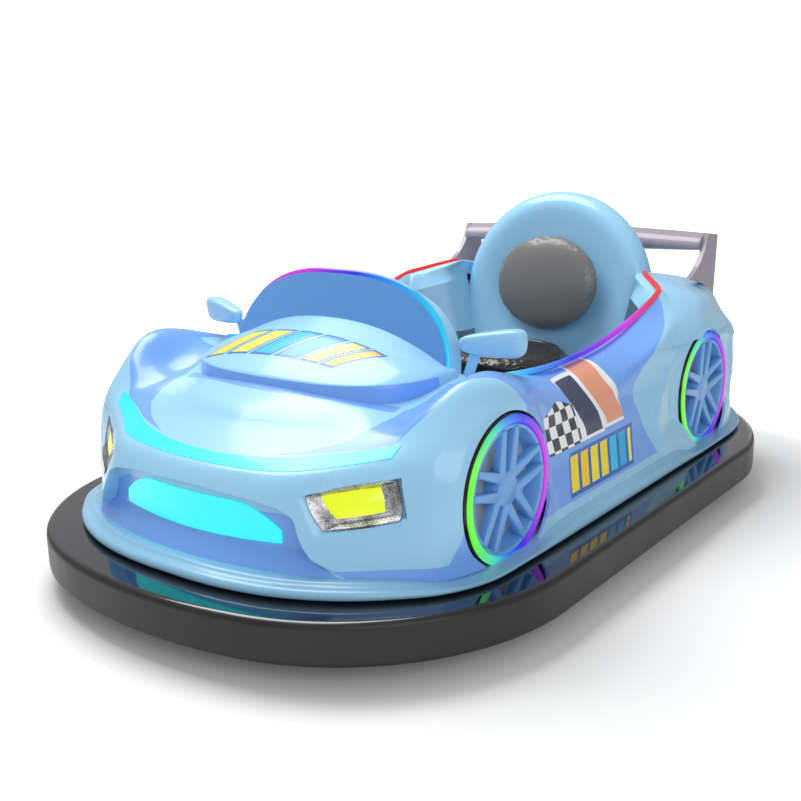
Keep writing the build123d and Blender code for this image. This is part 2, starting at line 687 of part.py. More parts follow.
def steering():
    rim = Torus(STEERING_R - STEERING_GRIP_R, STEERING_GRIP_R)
    hub = Cylinder(34, 24)
    wheel = rim + Pos(0, 0, -4) * hub
    for turn in (90, 180, 270):
        arm = Box(STEERING_R - 24, 22, 10, align=(Align.MIN, Align.CENTER, Align.CENTER))
        wheel += Rot(0, 0, turn) * Pos(10, 0, -4) * arm
    keep("steering_wheel", column_place(0) * wheel)
    down = Pos(0, 0, -16.2)
    length = COLUMN_LENGTH - 16.2
    shaft = down * Cylinder(SHAFT_R, length, align=(Align.CENTER, Align.CENTER, Align.MAX))
    keep("steering_shaft", column_place(0) * shaft)
    jacket = Pos(0, 0, -40) * Cylinder(SHAFT_R + 9, JACKET_LENGTH, align=(Align.CENTER, Align.CENTER, Align.MAX))
    jacket -= Cylinder(SHAFT_R + 3, 2 * COLUMN_LENGTH)
    keep("column_jacket", column_place(0) * jacket)


def drive_unit():
    top = BRIDGE_Z
    leg_foot = RAIL_BOTTOM + TUBE_H + 0.2
    half = RAIL_Y + 4
    bridge = box(DRIVE_X - 60, DRIVE_X + 60, -half, half, top, top + 8)
    bridge += both(box(DRIVE_X - 40, DRIVE_X + 40, half - 8, half, leg_foot, top))
    bridge -= Pos(DRIVE_X, 0, top) * Cylinder(STUB_R + RUNNING, 60)
    keep("drive_bridge", bridge)
    x0, x1, half, tall = GEARBOX
    w = GEARBOX_WALL
    case = box(x0, x1, -half, half, top + 8.2, top + 8.2 + tall)
    case -= box(x0 + w, x1 - w, w - half, half - w, 0, top + 8.2 + tall - w)
    keep("steering_gearbox", case - column_place(0) * Cylinder(SHAFT_R + 3, 2 * COLUMN_LENGTH))
    crown = Pos(DRIVE_X, 0, top - 12) * Cylinder(70, 10)
    stub = Pos(DRIVE_X, 0, top - 10) * Cylinder(STUB_R, 34, align=(Align.CENTER, Align.CENTER, Align.MIN))
    fork = crown + stub
    for side in (-1, 1):
        y0, y1 = sorted((side * 42, side * 52))
        fork += box(DRIVE_X - 22, DRIVE_X + 22, y0, y1, DRIVE_WHEEL_R - 24, top - 12)
    fork -= disc(DRIVE_X, -80, 80, DRIVE_WHEEL_R, AXLE_R)
    keep("drive_fork", fork)
    keep("drive_axle", disc(DRIVE_X, -58, 58, DRIVE_WHEEL_R, AXLE_R))
    tyre, hub = wheel_pair(DRIVE_X, 0, DRIVE_WHEEL_R, DRIVE_WHEEL_R, DRIVE_WHEEL_W, 68)
    keep("drive_tyre", tyre)
    keep("drive_hub_motor", hub)


def wheel_pair(x, y, z, radius, width, hub_r):
    """A solid rubber tyre and the hub that fills it, bored for its axle."""
    half = width / 2
    tyre = disc(x, y - half, y + half, z, radius)
    tyre = fillet(tyre.edges().filter_by(GeomType.CIRCLE), 8)
    tyre -= disc(x, y - half - 1, y + half + 1, z, hub_r)
    hub = disc(x, y - half + 3, y + half - 3, z, hub_r)
    hub += disc(x, y - half - 6, y + half + 6, z, 24)
    hub -= disc(x, y - half - 9, y + half + 9, z, AXLE_R + RUNNING)
    return tyre, hub


def rear_wheels():
    z, y = REAR_WHEEL_R, REAR_TRACK_HALF
    rear_cross, seat_cross = CROSSMEMBER_X[:2]
    tabs = (rear_cross - TUBE_W / 2, seat_cross - 0.5)
    low, high = z - 22, FLOOR_Z + FLOOR_THICK
    plates = []
    for side in (-1, 1):
        across = sorted((y + side * BRACKET_OFFSET, y + side * (BRACKET_OFFSET + BRACKET_THICK)))
        plate = box(*tabs, *across, FLOOR_Z + 0.2, high)
        plates.append(plate + box(tabs[0] + TUBE_W + 1, seat_cross - TUBE_W, *across, low, FLOOR_Z + 1))
    bracket = plates[0] + plates[1] - disc(REAR_AXLE_X, y - 80, y + 80, z, AXLE_R)
    keep("rear_wheel_brackets", both(bracket))
    keep("rear_axles", both(disc(REAR_AXLE_X, y - 50, y + 50, z, AXLE_R)))
    for name, side in (("left", 1), ("right", -1)):
        tyre, hub = wheel_pair(REAR_AXLE_X, side * y, z, REAR_WHEEL_R, REAR_WHEEL_W, 46)
        keep(f"{name}_rear_tyre", tyre)
        keep(f"{name}_rear_hub", hub)


def inside_fittings():
    base_z = FLOOR_Z + FLOOR_THICK + 0.2
    rear = CROSSMEMBER_X[0] - 83
    keep("battery_block", box(rear, rear + 110, -180, 180, base_z, 320))
    shaft_hole = column_place(0) * Cylinder(SHAFT_R + 9.3, 3 * COLUMN_LENGTH)
    keep("dash_panel", box(330, 350, -DASH_HALF, DASH_HALF, 330, 440) - shaft_hole)
    bulkhead = box(BULKHEAD_X, BULKHEAD_X + 6, -COCKPIT_HALF, COCKPIT_HALF, base_z, BULKHEAD_TOP)
    keep("footwell_bulkhead", bulkhead - shaft_hole)
    plate = Pos(322, -95, 148) * Rot(0, -50, 0) * Box(112, 80, 8)
    keep("foot_pedal", plate + box(288, 372, -120, -70, base_z, base_z + 16) + box(330, 350, -105, -85, base_z, 160))


# ---------------------------------------------------------------- run

keep("rubber_bumper", bumper())
chassis()
body()
lamps()
rim_lights()
windscreen()
seat()
side_wheels()
mirrors()
rear_wing()
steering()
drive_unit()
rear_wheels()
inside_fittings()

os.makedirs("parts", exist_ok=True)
for node, shape in parts.items():
    export_step(shape, f"parts/{node}.step")
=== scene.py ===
import math

import bmesh
import bpy
import numpy as np
from mathutils import Matrix, Vector


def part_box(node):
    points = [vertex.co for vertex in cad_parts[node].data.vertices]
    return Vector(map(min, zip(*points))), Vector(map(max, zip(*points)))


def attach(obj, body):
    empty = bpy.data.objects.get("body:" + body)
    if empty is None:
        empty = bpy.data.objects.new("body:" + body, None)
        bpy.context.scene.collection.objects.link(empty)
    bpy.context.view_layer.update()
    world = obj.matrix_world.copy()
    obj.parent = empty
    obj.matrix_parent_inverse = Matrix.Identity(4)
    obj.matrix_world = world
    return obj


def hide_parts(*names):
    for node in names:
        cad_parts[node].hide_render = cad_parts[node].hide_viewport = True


# Bumper car: moulded body on a rubber bumper ring. Metres, +X forward, +Y to the driver's left.
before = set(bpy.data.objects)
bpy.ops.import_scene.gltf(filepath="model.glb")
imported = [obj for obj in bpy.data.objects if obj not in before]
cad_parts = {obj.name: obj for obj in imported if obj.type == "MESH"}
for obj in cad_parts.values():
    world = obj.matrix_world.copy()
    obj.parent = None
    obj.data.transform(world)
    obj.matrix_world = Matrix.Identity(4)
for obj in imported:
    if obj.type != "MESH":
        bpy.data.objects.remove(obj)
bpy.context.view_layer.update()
MM = 0.001

# ------------------------------------------------------------------ body lines

# The body is one skin between nine lines that run round the car, from the middle of the nose
# (station 0) along the side to the middle of the tail (station 20). Each row is
# station, x, y, z in millimetres.
BODY_LINES = {
    "foot": [(0, 897, 0, 150), (1, 889, 122, 150), (2, 860, 236, 150), (3, 805, 336, 150),
             (4, 738, 414, 150), (5, 682, 470, 150), (6, 602, 500, 150), (7, 511, 512, 150),
             (8, 400, 516, 150), (11, -165, 520, 150), (14, -440, 520, 150), (15, -560, 516, 150),
             (16, -664, 492, 150), (17, -762, 427, 150), (18, -825, 312, 150), (19, -854, 160, 150),
             (20, -862, 0, 150)],
    "low": [(0, 893, 0, 216), (1, 886, 123, 216), (2, 860, 238, 216), (3, 794, 334, 217),
            (4, 728, 416, 220), (5, 684, 474, 222), (6, 606, 499, 224), (7, 511, 508, 225),
            (8, 395, 510, 225), (11, -125, 512, 226), (12, -205, 508, 228), (13, -300, 508, 230),
            (14, -438, 512, 230), (15, -560, 513, 230), (16, -664, 490, 230), (17, -766, 425, 230),
            (18, -828, 308, 230), (20, -866, 0, 230)],
    "waist": [(0, 868, 0, 275), (1, 862, 121, 275), (2, 840, 234, 276), (3, 778, 330, 279),
              (4, 715, 415, 284), (5, 680, 472, 292), (6, 606, 496, 296), (7, 511, 504, 298),
              (8, 392, 506, 296), (11, -100, 509, 290), (12, -195, 508, 292), (13, -298, 508, 294),
              (14, -436, 512, 296), (15, -562, 514, 296), (16, -672, 490, 294), (17, -772, 426, 292),
              (18, -830, 306, 290), (20, -866, 0, 288)],
    "high": [(0, 842, 0, 325), (1, 836, 120, 327), (2, 816, 230, 333), (3, 756, 318, 341),
             (4, 704, 398, 354), (5, 669, 458, 370), (6, 602, 484, 390), (7, 511, 496, 402),
             (8, 400, 500, 394), (9, 240, 504, 352), (10, 70, 503, 338), (11, -88, 504, 352),
             (12, -200, 507, 362), (13, -310, 508, 370), (14, -436, 512, 384), (15, -560, 514, 380),
             (16, -664, 490, 366), (17, -762, 428, 358), (18, -820, 305, 352), (20, -858, 0, 348)],
    "brow": [(0, 817, 0, 342), (1, 809, 118, 345), (2, 782, 222, 353), (3, 730, 303, 364),
             (4, 680, 372, 386), (5, 640, 428, 428), (6, 582, 460, 461), (7, 506, 482, 474),
             (8, 428, 490, 446), (9, 235, 480, 392), (10, 20, 480, 385), (11, -172, 498, 424),
             (12, -255, 505, 418), (13, -345, 508, 418), (14, -440, 511, 420), (15, -545, 511, 418),
             (16, -648, 494, 398), (17, -746, 436, 390), (18, -800, 305, 404), (20, -838, 0, 406)],
    "crest": [(0, 775, 0, 361), (1, 767, 108, 363), (2, 742, 205, 370), (3, 699, 285, 382),
              (4, 652, 350, 404), (5, 620, 398, 448), (6, 570, 424, 484), (7, 504, 434, 496),
              (8, 432, 438, 482), (9, 200, 434, 418), (10, -60, 436, 427), (11, -312, 442, 478),
              (12, -376, 446, 490), (13, -432, 448, 498), (14, -500, 450, 502), (15, -578, 434, 498),
              (16, -654, 412, 492), (17, -724, 388, 490), (18, -764, 300, 484), (19, -772, 150, 477),
              (20, -775, 0, 474)],
    "rim": [(0, 722, 0, 391), (1, 714, 100, 393), (2, 694, 184, 398), (3, 650, 256, 404),
            (4, 608, 314, 409), (5, 574, 356, 425), (6, 530, 382, 452), (7, 470, 396, 468),
            (8, 385, 400, 460), (9, 160, 400, 426), (10, -110, 400, 441), (11, -365, 399, 518),
            (12, -400, 388, 522), (13, -432, 365, 530), (14, -464, 334, 540), (15, -500, 300, 549),
            (16, -550, 304, 547), (17, -610, 303, 536), (18, -655, 235, 520), (19, -672, 120, 513),
            (20, -678, 0, 510)],
    "bevel": [(0, 650, 0, 432), (1, 643, 96, 432), (2, 624, 170, 431), (3, 585, 228, 428),
              (4, 548, 272, 424), (5, 518, 310, 426), (6, 478, 338, 438), (7, 428, 356, 448),
              (8, 360, 376, 446), (9, 155, 385, 414), (10, -106, 384, 428), (11, -350, 379, 502),
              (12, -378, 370, 507), (13, -408, 349, 514), (14, -436, 321, 523), (15, -474, 292, 532),
              (16, -530, 292, 536), (17, -597, 294, 525), (18, -635, 220, 512), (19, -645, 110, 507),
              (20, -648, 0, 505)],
    "sill": [(0, 415, 0, 500), (1, 413, 60, 498), (2, 410, 115, 492), (3, 403, 165, 482),
             (4, 395, 210, 474), (5, 387, 248, 466), (6, 378, 280, 458), (7, 365, 308, 450),
             (8, 340, 345, 436), (9, 150, 368, 392), (10, -103, 367, 404), (11, -334, 364, 470),
             (12, -360, 356, 474), (13, -388, 337, 480), (14, -416, 312, 488), (15, -452, 288, 496),
             (16, -515, 288, 510), (17, -585, 289, 500), (18, -622, 215, 490), (19, -622, 110, 485),
             (20, -622, 0, 483)],
}
# The skirt lip's line in plan: its own round the front, the skin's foot further back
LIP_LINE = [(0, 897, 0, 0), (1, 892, 122, 0), (2, 866, 240, 0), (3, 815, 345, 0), (4, 750, 425, 0),
            (5, 690, 478, 0), (6, 606, 512, 0), (7, 511, 517, 0), (8, 400, 519, 0)]
LIP_LINE += [(station, x, y, 0) for station, x, y, _ in BODY_LINES["foot"] if station > 8]
STATIONS = 20
STATION_STEP = 0.5
SKIN = 0.007
PANELS = {"front_shell": (0, 8), "side_panel": (8, 11), "tail_shell": (11, STATIONS)}

# ------------------------------------------------------------------ shader maths


class Value:
    """A shader socket that takes part in sums."""

    def __init__(self, finish, socket):
        self.finish, self.socket = finish, socket

    def math(self, operation, *values):
        return self.finish.node("ShaderNodeMath", {"operation": operation}, values)

    def __add__(self, other):
        return self.math("ADD", self, other)

    __radd__ = __add__

    def __sub__(self, other):
        return self.math("SUBTRACT", self, other)

    def __rsub__(self, other):
        return self.math("SUBTRACT", other, self)

    def __mul__(self, other):
        return self.math("MULTIPLY", self, other)

    __rmul__ = __mul__

    def __truediv__(self, other):
        return self.math("DIVIDE", self, other)

    def __rtruediv__(self, other):
        return self.math("DIVIDE", other, self)

    def abs(self):
        return self.math("ABSOLUTE", self)

    def below(self, other):
        return self.math("LESS_THAN", self, other)

    def above(self, other):
        return self.math("GREATER_THAN", self, other)

    def between(self, low, high):
        return self.above(low) * self.below(high)

    def clamped(self):
        return self.finish.node("ShaderNodeClamp", {}, [self])


class Finish:
    """A material and the nodes that make it."""

    def __init__(self, name, **constants):
        self.material = bpy.data.materials.new(name)
        self.material.use_nodes = True
        self.tree = self.material.node_tree
        self.shader = self.tree.nodes["Principled BSDF"]
        for socket, value in constants.items():
            self.shader.inputs[socket.replace("_", " ")].default_value = value

    def node(self, kind, settings, inputs=(), output=0):
        made = self.tree.nodes.new(kind)
        for key, value in settings.items():
            if key == "stops":
                ramp(made.color_ramp, value)
            else:
                setattr(made, key, value)
        for key, value in inputs.items() if isinstance(inputs, dict) else enumerate(inputs):
            if isinstance(value, Value):
                self.tree.links.new(value.socket, made.inputs[key])
            else:
                made.inputs[key].default_value = value
        return Value(self, made.outputs[output])

    def feed(self, socket, value):
        self.tree.links.new(value.socket, self.shader.inputs[socket])

    def place(self):
        """x, y and z in the object's own frame."""
        point = self.node("ShaderNodeTexCoord", {}, output="Object")
        return [self.node("ShaderNodeSeparateXYZ", {}, [point], axis) for axis in "XYZ"]

    def stations(self):
        """Station along the body and line number up it, from the skin's own map."""
        point = self.node("ShaderNodeUVMap", {"uv_map": "lines"})
        u, v = [self.node("ShaderNodeSeparateXYZ", {}, [point], axis) for axis in "XY"]
        return u * STATIONS, v * (len(BODY_LINES) - 1)

    def noise(self, scale, detail=2.0, roughness=0.5, stretch=None):
        point = self.node("ShaderNodeTexCoord", {}, output="Object")
        if stretch:
            point = self.node("ShaderNodeMapping", {}, {"Vector": point, "Scale": stretch})
        return self.node("ShaderNodeTexNoise", {}, {"Vector": point, "Scale": scale, "Detail": detail,
                                                    "Roughness": roughness}, "Fac")

    def mix(self, factor, one, other):
        """Colour that is one at factor 0 and other at factor 1."""
        return self.node("ShaderNodeMix", {"data_type": "RGBA"}, {0: factor, 6: one, 7: other}, 2)

    def wave(self, value, turns):
        angle = value * turns * math.pi
        return angle.math("SINE", angle)

    def spread(self, value, low, high):
        """Runs low to high as value goes from 0 to 1."""
        return self.node("ShaderNodeMapRange", {}, {"Value": value, "To Min": low, "To Max": high})

    def curve(self, value, points):
        """Straight runs through points (value, result)."""
        first, last = points[0][0], points[-1][0]
        top = max(result for _, result in points) or 1.0
        stops = [((at - first) / (last - first), (result / top,) * 3 + (1,)) for at, result in points]
        return self.node("ShaderNodeValToRGB", {"stops": stops}, [(value - first) / (last - first)]) * top

    def bump(self, height, distance, strength=1.0):
        self.feed("Normal", self.node("ShaderNodeBump", {}, {"Height": height, "Distance": distance,
                                                             "Strength": strength}))


def ramp(colour_ramp, stops):
    """Sets a colour ramp's stops: position, colour."""
    while len(colour_ramp.elements) < len(stops):
        colour_ramp.elements.new(1.0)
    for element, (position, colour) in zip(colour_ramp.elements, stops):
        element.position, element.color = position, colour


def rgb(red, green, blue):
    """Linear colour from 0 to 255 display values."""
    levels = [((c / 255 + 0.055) / 1.055) ** 2.4 if c > 10 else c / 255 / 12.92 for c in (red, green, blue)]
    return (*levels, 1.0)


def shade(colour, level):
    """The colour made lighter or darker."""
    return (*[c * level for c in colour[:3]], 1.0)


SKY = rgb(158, 212, 244)
SKY_DEEP = rgb(145, 202, 238)
CORNFLOWER = rgb(122, 174, 248)
CORNFLOWER_DEEP = rgb(108, 158, 238)
MAUVE, MAUVE_DEEP = rgb(160, 150, 162), rgb(149, 139, 152)
GEL_COAT = {"Coat_Weight": 0.35, "Coat_Roughness": 0.1, "IOR": 1.45}
# Roughness of the wing and its fins, least and most
SATIN = (0.2, 0.35)

# ------------------------------------------------------------------ finishes


def paint_depth(finish, light, deep):
    """Gel coat that varies a little in depth over the moulding."""
    return finish.mix(finish.spread(finish.noise(3.2, 3.0), 0.0, 0.5), light, deep)


def sky_coat(finish):
    """The light blue of most of the body."""
    return paint_depth(finish, SKY, SKY_DEEP)


def cornflower_coat(finish):
    """The deeper blue of the doors, channels and fascia."""
    return paint_depth(finish, CORNFLOWER, CORNFLOWER_DEEP)


def gloss(finish, grain=420, roughness=(0.2, 0.32)):
    """Faint orange peel and uneven polish."""
    finish.feed("Roughness", finish.spread(finish.noise(7.0, 4.0), *roughness))
    finish.bump(finish.noise(grain, 2.0), 0.0002, 0.25)


# Edges of the cornflower channel between bonnet and fender: station, line
CHANNEL_OUTER = [(0.0, 4.6), (1.4, 4.7), (2.0, 4.69), (3.0, 4.59), (3.9, 4.12), (4.4, 4.45), (5.0, 4.54),
                 (5.5, 4.61), (6.0, 4.82), (6.5, 4.70), (6.9, 4.45), (7.5, 4.33), (7.7, 4.1), (7.78, 3.3),
                 (7.83, 0.0), (8.5, 0.0)]
CHANNEL_INNER = [(0.0, 4.5), (1.35, 4.7), (2.09, 4.92), (2.47, 5.04), (2.9, 5.21), (3.23, 5.54),
                 (3.72, 6.05), (4.35, 6.66), (5.28, 7.0), (6.15, 7.4), (7.0, 7.4), (7.6, 6.0), (8.5, 6.0)]


def door_design(finish, base):
    """Slanted flag of squares, two sweeps of colour and a row of bars on the door."""
    x, _, z = finish.place()
    along, up = (0.312 - x) / 0.40, (z - 0.185) / 0.24
    lean = along + up * 0.16
    design = base
    white, black = rgb(244, 246, 250), rgb(30, 32, 40)
    cells = finish.node("ShaderNodeCombineXYZ", {}, [lean * 15, up * 9, 0.5])
    squares = finish.node("ShaderNodeTexChecker", {}, {"Vector": cells, "Color1": white, "Color2": black,
                                                       "Scale": 1.0})
    flag = lean.between(0.08, 0.42) * up.between(0.42, 0.80 + finish.wave(along, 4.0) * 0.05)
    sweeps = [(0.44, 0.66, 0.44, 0.95, rgb(46, 54, 92)), (0.68, 0.90, 0.46, 1.02, rgb(236, 160, 128))]
    for start, end, low, high, colour in sweeps:
        outer = lean.between(start - 0.018, end + 0.018) * up.between(low - 0.02, high + 0.025)
        bowed = lean + finish.wave(up, 3.0) * 0.03
        inner = bowed.between(start + 0.01, end - 0.01) * up.between(low + 0.01, high)
        design = finish.mix(outer, design, white)
        design = finish.mix(inner, design, colour)
    design = finish.mix(flag, design, squares)
    bars = [(0.14, rgb(255, 226, 30)), (0.25, rgb(255, 214, 20)), (0.36, rgb(255, 232, 60)),
            (0.47, rgb(255, 226, 30)), (0.58, rgb(40, 200, 245)), (0.69, rgb(30, 180, 235)),
            (0.80, rgb(255, 238, 110))]
    slant = along - (up - 0.1) * 0.30
    for start, colour in bars:
        wide = 0.095 if start < 0.8 else 0.05
        outer = slant.between(start - 0.014, start + wide + 0.006) * up.between(0.030, 0.375)
        design = finish.mix(outer, design, rgb(30, 105, 190))
    for start, colour in bars:
        wide = 0.080 if start < 0.8 else 0.036
        inner = slant.between(start, start + wide) * up.between(0.065, 0.340)
        design = finish.mix(inner, design, colour)
    return design


def body_paint():
    """Light blue gel coat with the cornflower areas masked off on it; the band under the bonnet's lip is
    partly painted shade.
    """
    finish = Finish("body_paint", **GEL_COAT)
    x, y, z = finish.place()
    u, v = finish.stations()
    side = y.abs()
    sunk = finish.node("ShaderNodeAttribute", {"attribute_name": "recess"}, output="Fac")
    door = u.between(7.83, 11.0) * v.below(6.0) * z.above(0.186)
    channel = v.between(finish.curve(u, CHANNEL_OUTER), finish.curve(u, CHANNEL_INNER)) * u.below(7.84)
    # The cornflower band at the bonnet's foot is accent paint and painted shade under the bonnet's lip.
    foot_x = 0.636 - side * side * 0.75
    accent_and_shade_band = x.between(foot_x - 0.02, foot_x + 0.005) * side.below(0.29) * z.above(0.40)
    flare = side.math("MAXIMUM", side - 0.215, 0.0)
    fascia = sunk.above(0.9) * z.below(0.268 - flare * 0.44)
    under_cheek = z.below(0.179) * u.between(2.9, 6.6) * sunk.below(0.5)
    before_tyre = x.below(0.662 - (z - 0.2) * 0.4) * z.below(0.25) * u.between(4.0, 6.6)
    mask = (door + channel + accent_and_shade_band + fascia + under_cheek + before_tyre).clamped()
    paint = finish.mix(mask, sky_coat(finish), cornflower_coat(finish))
    design = door_design(finish, paint)
    finish.feed("Base Color", finish.mix(door, paint, design))
    gloss(finish)
    return finish.material


def plain_paint(name, light, deep, roughness=(0.2, 0.32)):
    """Gel coat of one colour."""
    finish = Finish(name, **GEL_COAT)
    finish.feed("Base Color", paint_depth(finish, light, deep))
    gloss(finish, roughness=roughness)
    return finish.material


def light_guide(name, strength):
    """Lit plastic, with its emission colour still to be fed."""
    finish = Finish(name, Roughness=0.25, Emission_Strength=strength, Coat_Weight=0.3)
    finish.shader.inputs["Base Color"].default_value = (0.02, 0.02, 0.02, 1)
    finish.bump(finish.noise(260, 1.0), 0.0002, 0.2)
    return finish


def lit(name, colour, strength=1.0):
    """Light guide of one colour, a little uneven along its length."""
    finish = light_guide(name, strength)
    finish.feed("Emission Color", finish.mix(finish.noise(22, 2.0), colour, shade(colour, 0.9)))
    return finish.material


def lit_run(name, along, stops):
    """Light guide whose colour runs with the value that along(finish) gives."""
    finish = light_guide(name, 1.0)
    finish.feed("Emission Color", finish.node("ShaderNodeValToRGB", {"stops": stops}, [along(finish)]))
    return finish.material


def black_rubber():
    """Bumper rubber: polished on top with a blue-grey painted reflection in its colour, scuffed and satin on
    the flank.
    """
    finish = Finish("bumper_rubber", Coat_Roughness=0.04, IOR=1.5)
    facing = finish.node("ShaderNodeNewGeometry", {}, output="Normal")
    up = finish.node("ShaderNodeSeparateXYZ", {}, [facing], "Z")
    top = finish.node("ShaderNodeMapRange", {"interpolation_type": "SMOOTHSTEP"},
                      {"Value": up, "From Min": 0.75, "From Max": 0.97})
    scuffs = finish.noise(9, 6.0, 0.65, stretch=(1, 1, 0.12))
    speck = finish.noise(160, 3.0)
    side = finish.mix(scuffs, rgb(12, 12, 12), rgb(34, 33, 33))
    # Painted reflection: the blue-grey tint of the top's colour stands in for the reflections on it.
    finish.feed("Base Color", finish.mix(top, side, rgb(22, 25, 31)))
    flank_gloss = finish.spread(scuffs, 0.3, 0.55)
    finish.feed("Roughness", flank_gloss * (1 - top) + top * 0.05)
    finish.feed("Coat Weight", top * 0.7)
    finish.bump(speck + scuffs * 3, 0.0003, 0.25)
    return finish.material


def rubber(name, colour, roughness=(0.3, 0.5)):
    """Rubber with dull patches."""
    finish = Finish(name, IOR=1.5)
    finish.feed("Base Color", finish.mix(finish.noise(30, 4.0), colour, shade(colour, 1.8)))
    finish.feed("Roughness", finish.spread(finish.noise(14, 5.0), *roughness))
    finish.bump(finish.noise(300, 3.0), 0.0003, 0.3)
    return finish.material


def metal(name, colour, roughness=(0.25, 0.4)):
    """Bare metal with fine level brush marks."""
    finish = Finish(name, Metallic=1.0)
    brushed = finish.noise(60, 3.0, stretch=(1, 1, 40))
    finish.feed("Base Color", finish.mix(brushed, colour, shade(colour, 0.75)))
    finish.feed("Roughness", finish.spread(brushed, *roughness))
    finish.bump(brushed, 0.0001, 0.2)
    return finish.material


def powder_coat(name, colour):
    """Powder-coated steel or grained moulding, matt and a little uneven."""
    finish = Finish(name, IOR=1.5)
    finish.feed("Base Color", finish.mix(finish.noise(12, 5.0), colour, shade(colour, 1.7)))
    finish.feed("Roughness", finish.spread(finish.noise(40, 4.0), 0.35, 0.6))
    finish.bump(finish.noise(500, 2.0), 0.0003, 0.4)
    return finish.material


def vinyl(name, colour, worn, roughness, grain=180):
    """Embossed vinyl: fine creased cells, polished by use."""
    finish = Finish(name, Coat_Weight=0.15, Coat_Roughness=0.2, Sheen_Weight=0.05)
    point = finish.node("ShaderNodeTexCoord", {}, output="Object")
    cells = finish.node("ShaderNodeTexVoronoi", {"feature": "DISTANCE_TO_EDGE"},
                        {"Vector": point, "Scale": grain})
    wear = finish.noise(5, 5.0)
    finish.feed("Base Color", finish.mix(wear, colour, worn))
    finish.feed("Roughness", finish.spread(wear, *roughness))
    finish.bump(cells + finish.noise(700, 2.0) * 0.2, 0.0006, 0.35)
    return finish.material


def speckled_chrome():
    """Vacuum-metallised bezel with a fine sparkle."""
    finish = Finish("bezel_chrome", Metallic=1.0)
    sparkle = finish.noise(900, 2.0, 0.8)
    patches = finish.noise(26, 2.0, 0.5)
    bright = ((patches - 0.44) * 3 + (sparkle - 0.5) * 5 + 0.3).clamped()
    finish.feed("Base Color", finish.mix(bright, rgb(70, 68, 66), rgb(225, 225, 230)))
    finish.feed("Roughness", finish.spread(sparkle, 0.12, 0.4))
    finish.bump(sparkle, 0.0006, 0.5)
    return finish.material


SPECTRUM = {"magenta": rgb(205, 20, 210), "purple": rgb(120, 10, 225), "blue": rgb(25, 15, 220),
            "azure": rgb(20, 130, 235), "cyan": rgb(25, 190, 235), "green": rgb(95, 245, 30),
            "red": rgb(225, 10, 20), "teal": rgb(70, 220, 170)}
# How far from the wheel's centre the lit ring's colours run, to the front and to the back
GLOW_RADIUS = 0.144


def wheel_glow(name, centre_x):
    """Ring that runs green in front, through blue, to magenta behind."""
    def along(finish):
        x, _, _ = finish.place()
        return (x - centre_x) / (2 * GLOW_RADIUS) + 0.5

    return lit_run(name, along, [
        (0.0, SPECTRUM["magenta"]), (0.22, SPECTRUM["purple"]), (0.36, SPECTRUM["blue"]),
        (0.55, SPECTRUM["azure"]), (0.72, SPECTRUM["teal"]), (0.93, SPECTRUM["green"])])


# ------------------------------------------------------------------ modelling helpers

# Edges that turn by less than this look smooth
SMOOTH_ANGLE = math.radians(40)


def activate(obj):
    """Selects this object alone and makes it the active one."""
    bpy.ops.object.select_all(action="DESELECT")
    obj.select_set(True)
    bpy.context.view_layer.objects.active = obj
    return obj


def fresh(name):
    """Names the primitive that was just added."""
    obj = bpy.context.active_object
    obj.name = obj.data.name = name
    return obj


def modify(obj, kind, **settings):
    """Adds a modifier and applies it."""
    activate(obj)
    modifier = obj.modifiers.new(kind, kind)
    for key, value in settings.items():
        setattr(modifier, key, value)
    bpy.ops.object.modifier_apply(modifier=modifier.name)
    return obj


def apply_place():
    """Puts the selected object's place, turn and scale into its mesh."""
    bpy.ops.object.transform_apply(location=True, rotation=True, scale=True)


class Edit:
    """Edit mode on one object, with what is worked on picked in code."""

    def __init__(self, obj, mode="FACE"):
        self.obj, self.mode = obj, mode

    def __enter__(self):
        activate(self.obj)
        bpy.ops.object.mode_set(mode="EDIT")
        bpy.ops.mesh.select_mode(type=self.mode)
        bpy.ops.mesh.select_all(action="DESELECT")
        return self

    def everything(self):
        bpy.ops.mesh.select_all(action="SELECT")

    def pick(self, test):
        mesh = bmesh.from_edit_mesh(self.obj.data)
        parts = {"FACE": mesh.faces, "EDGE": mesh.edges, "VERT": mesh.verts}[self.mode]
        for part in parts:
            part.select_set(bool(test(part)))
        mesh.select_flush_mode()
        bmesh.update_edit_mesh(self.obj.data)

    def __exit__(self, *_):
        bpy.ops.object.mode_set(mode="OBJECT")


def settle(obj):
    """Puts the object's place into its mesh and turns its faces outwards."""
    activate(obj)
    apply_place()
    with Edit(obj) as edit:
        edit.everything()
        bpy.ops.mesh.remove_doubles(threshold=1e-5)
        bpy.ops.mesh.normals_make_consistent(inside=False)
    return obj


def finished(obj, material, slot, replaces=()):
    """Smooths a fixed piece, gives it its material, hangs it on the chassis and hides the CAD nodes it
    replaces. Its slot is not used.
    """
    activate(obj)
    bpy.ops.object.shade_smooth_by_angle(angle=SMOOTH_ANGLE)
    obj.data.materials.clear()
    obj.data.materials.append(material)
    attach(obj, "chassis")
    if replaces:
        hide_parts(*replaces)
    return obj


def grid(name, columns, rows, place):
    """Sheet of quads; place(s, t) gives the point for s and t from 0 to 1."""
    bpy.ops.mesh.primitive_grid_add(x_subdivisions=columns, y_subdivisions=rows, size=2)
    obj = fresh(name)
    for vertex in obj.data.vertices:
        s, t = (vertex.co.x + 1) / 2, (vertex.co.y + 1) / 2
        vertex.co = place(s, t)
    return obj


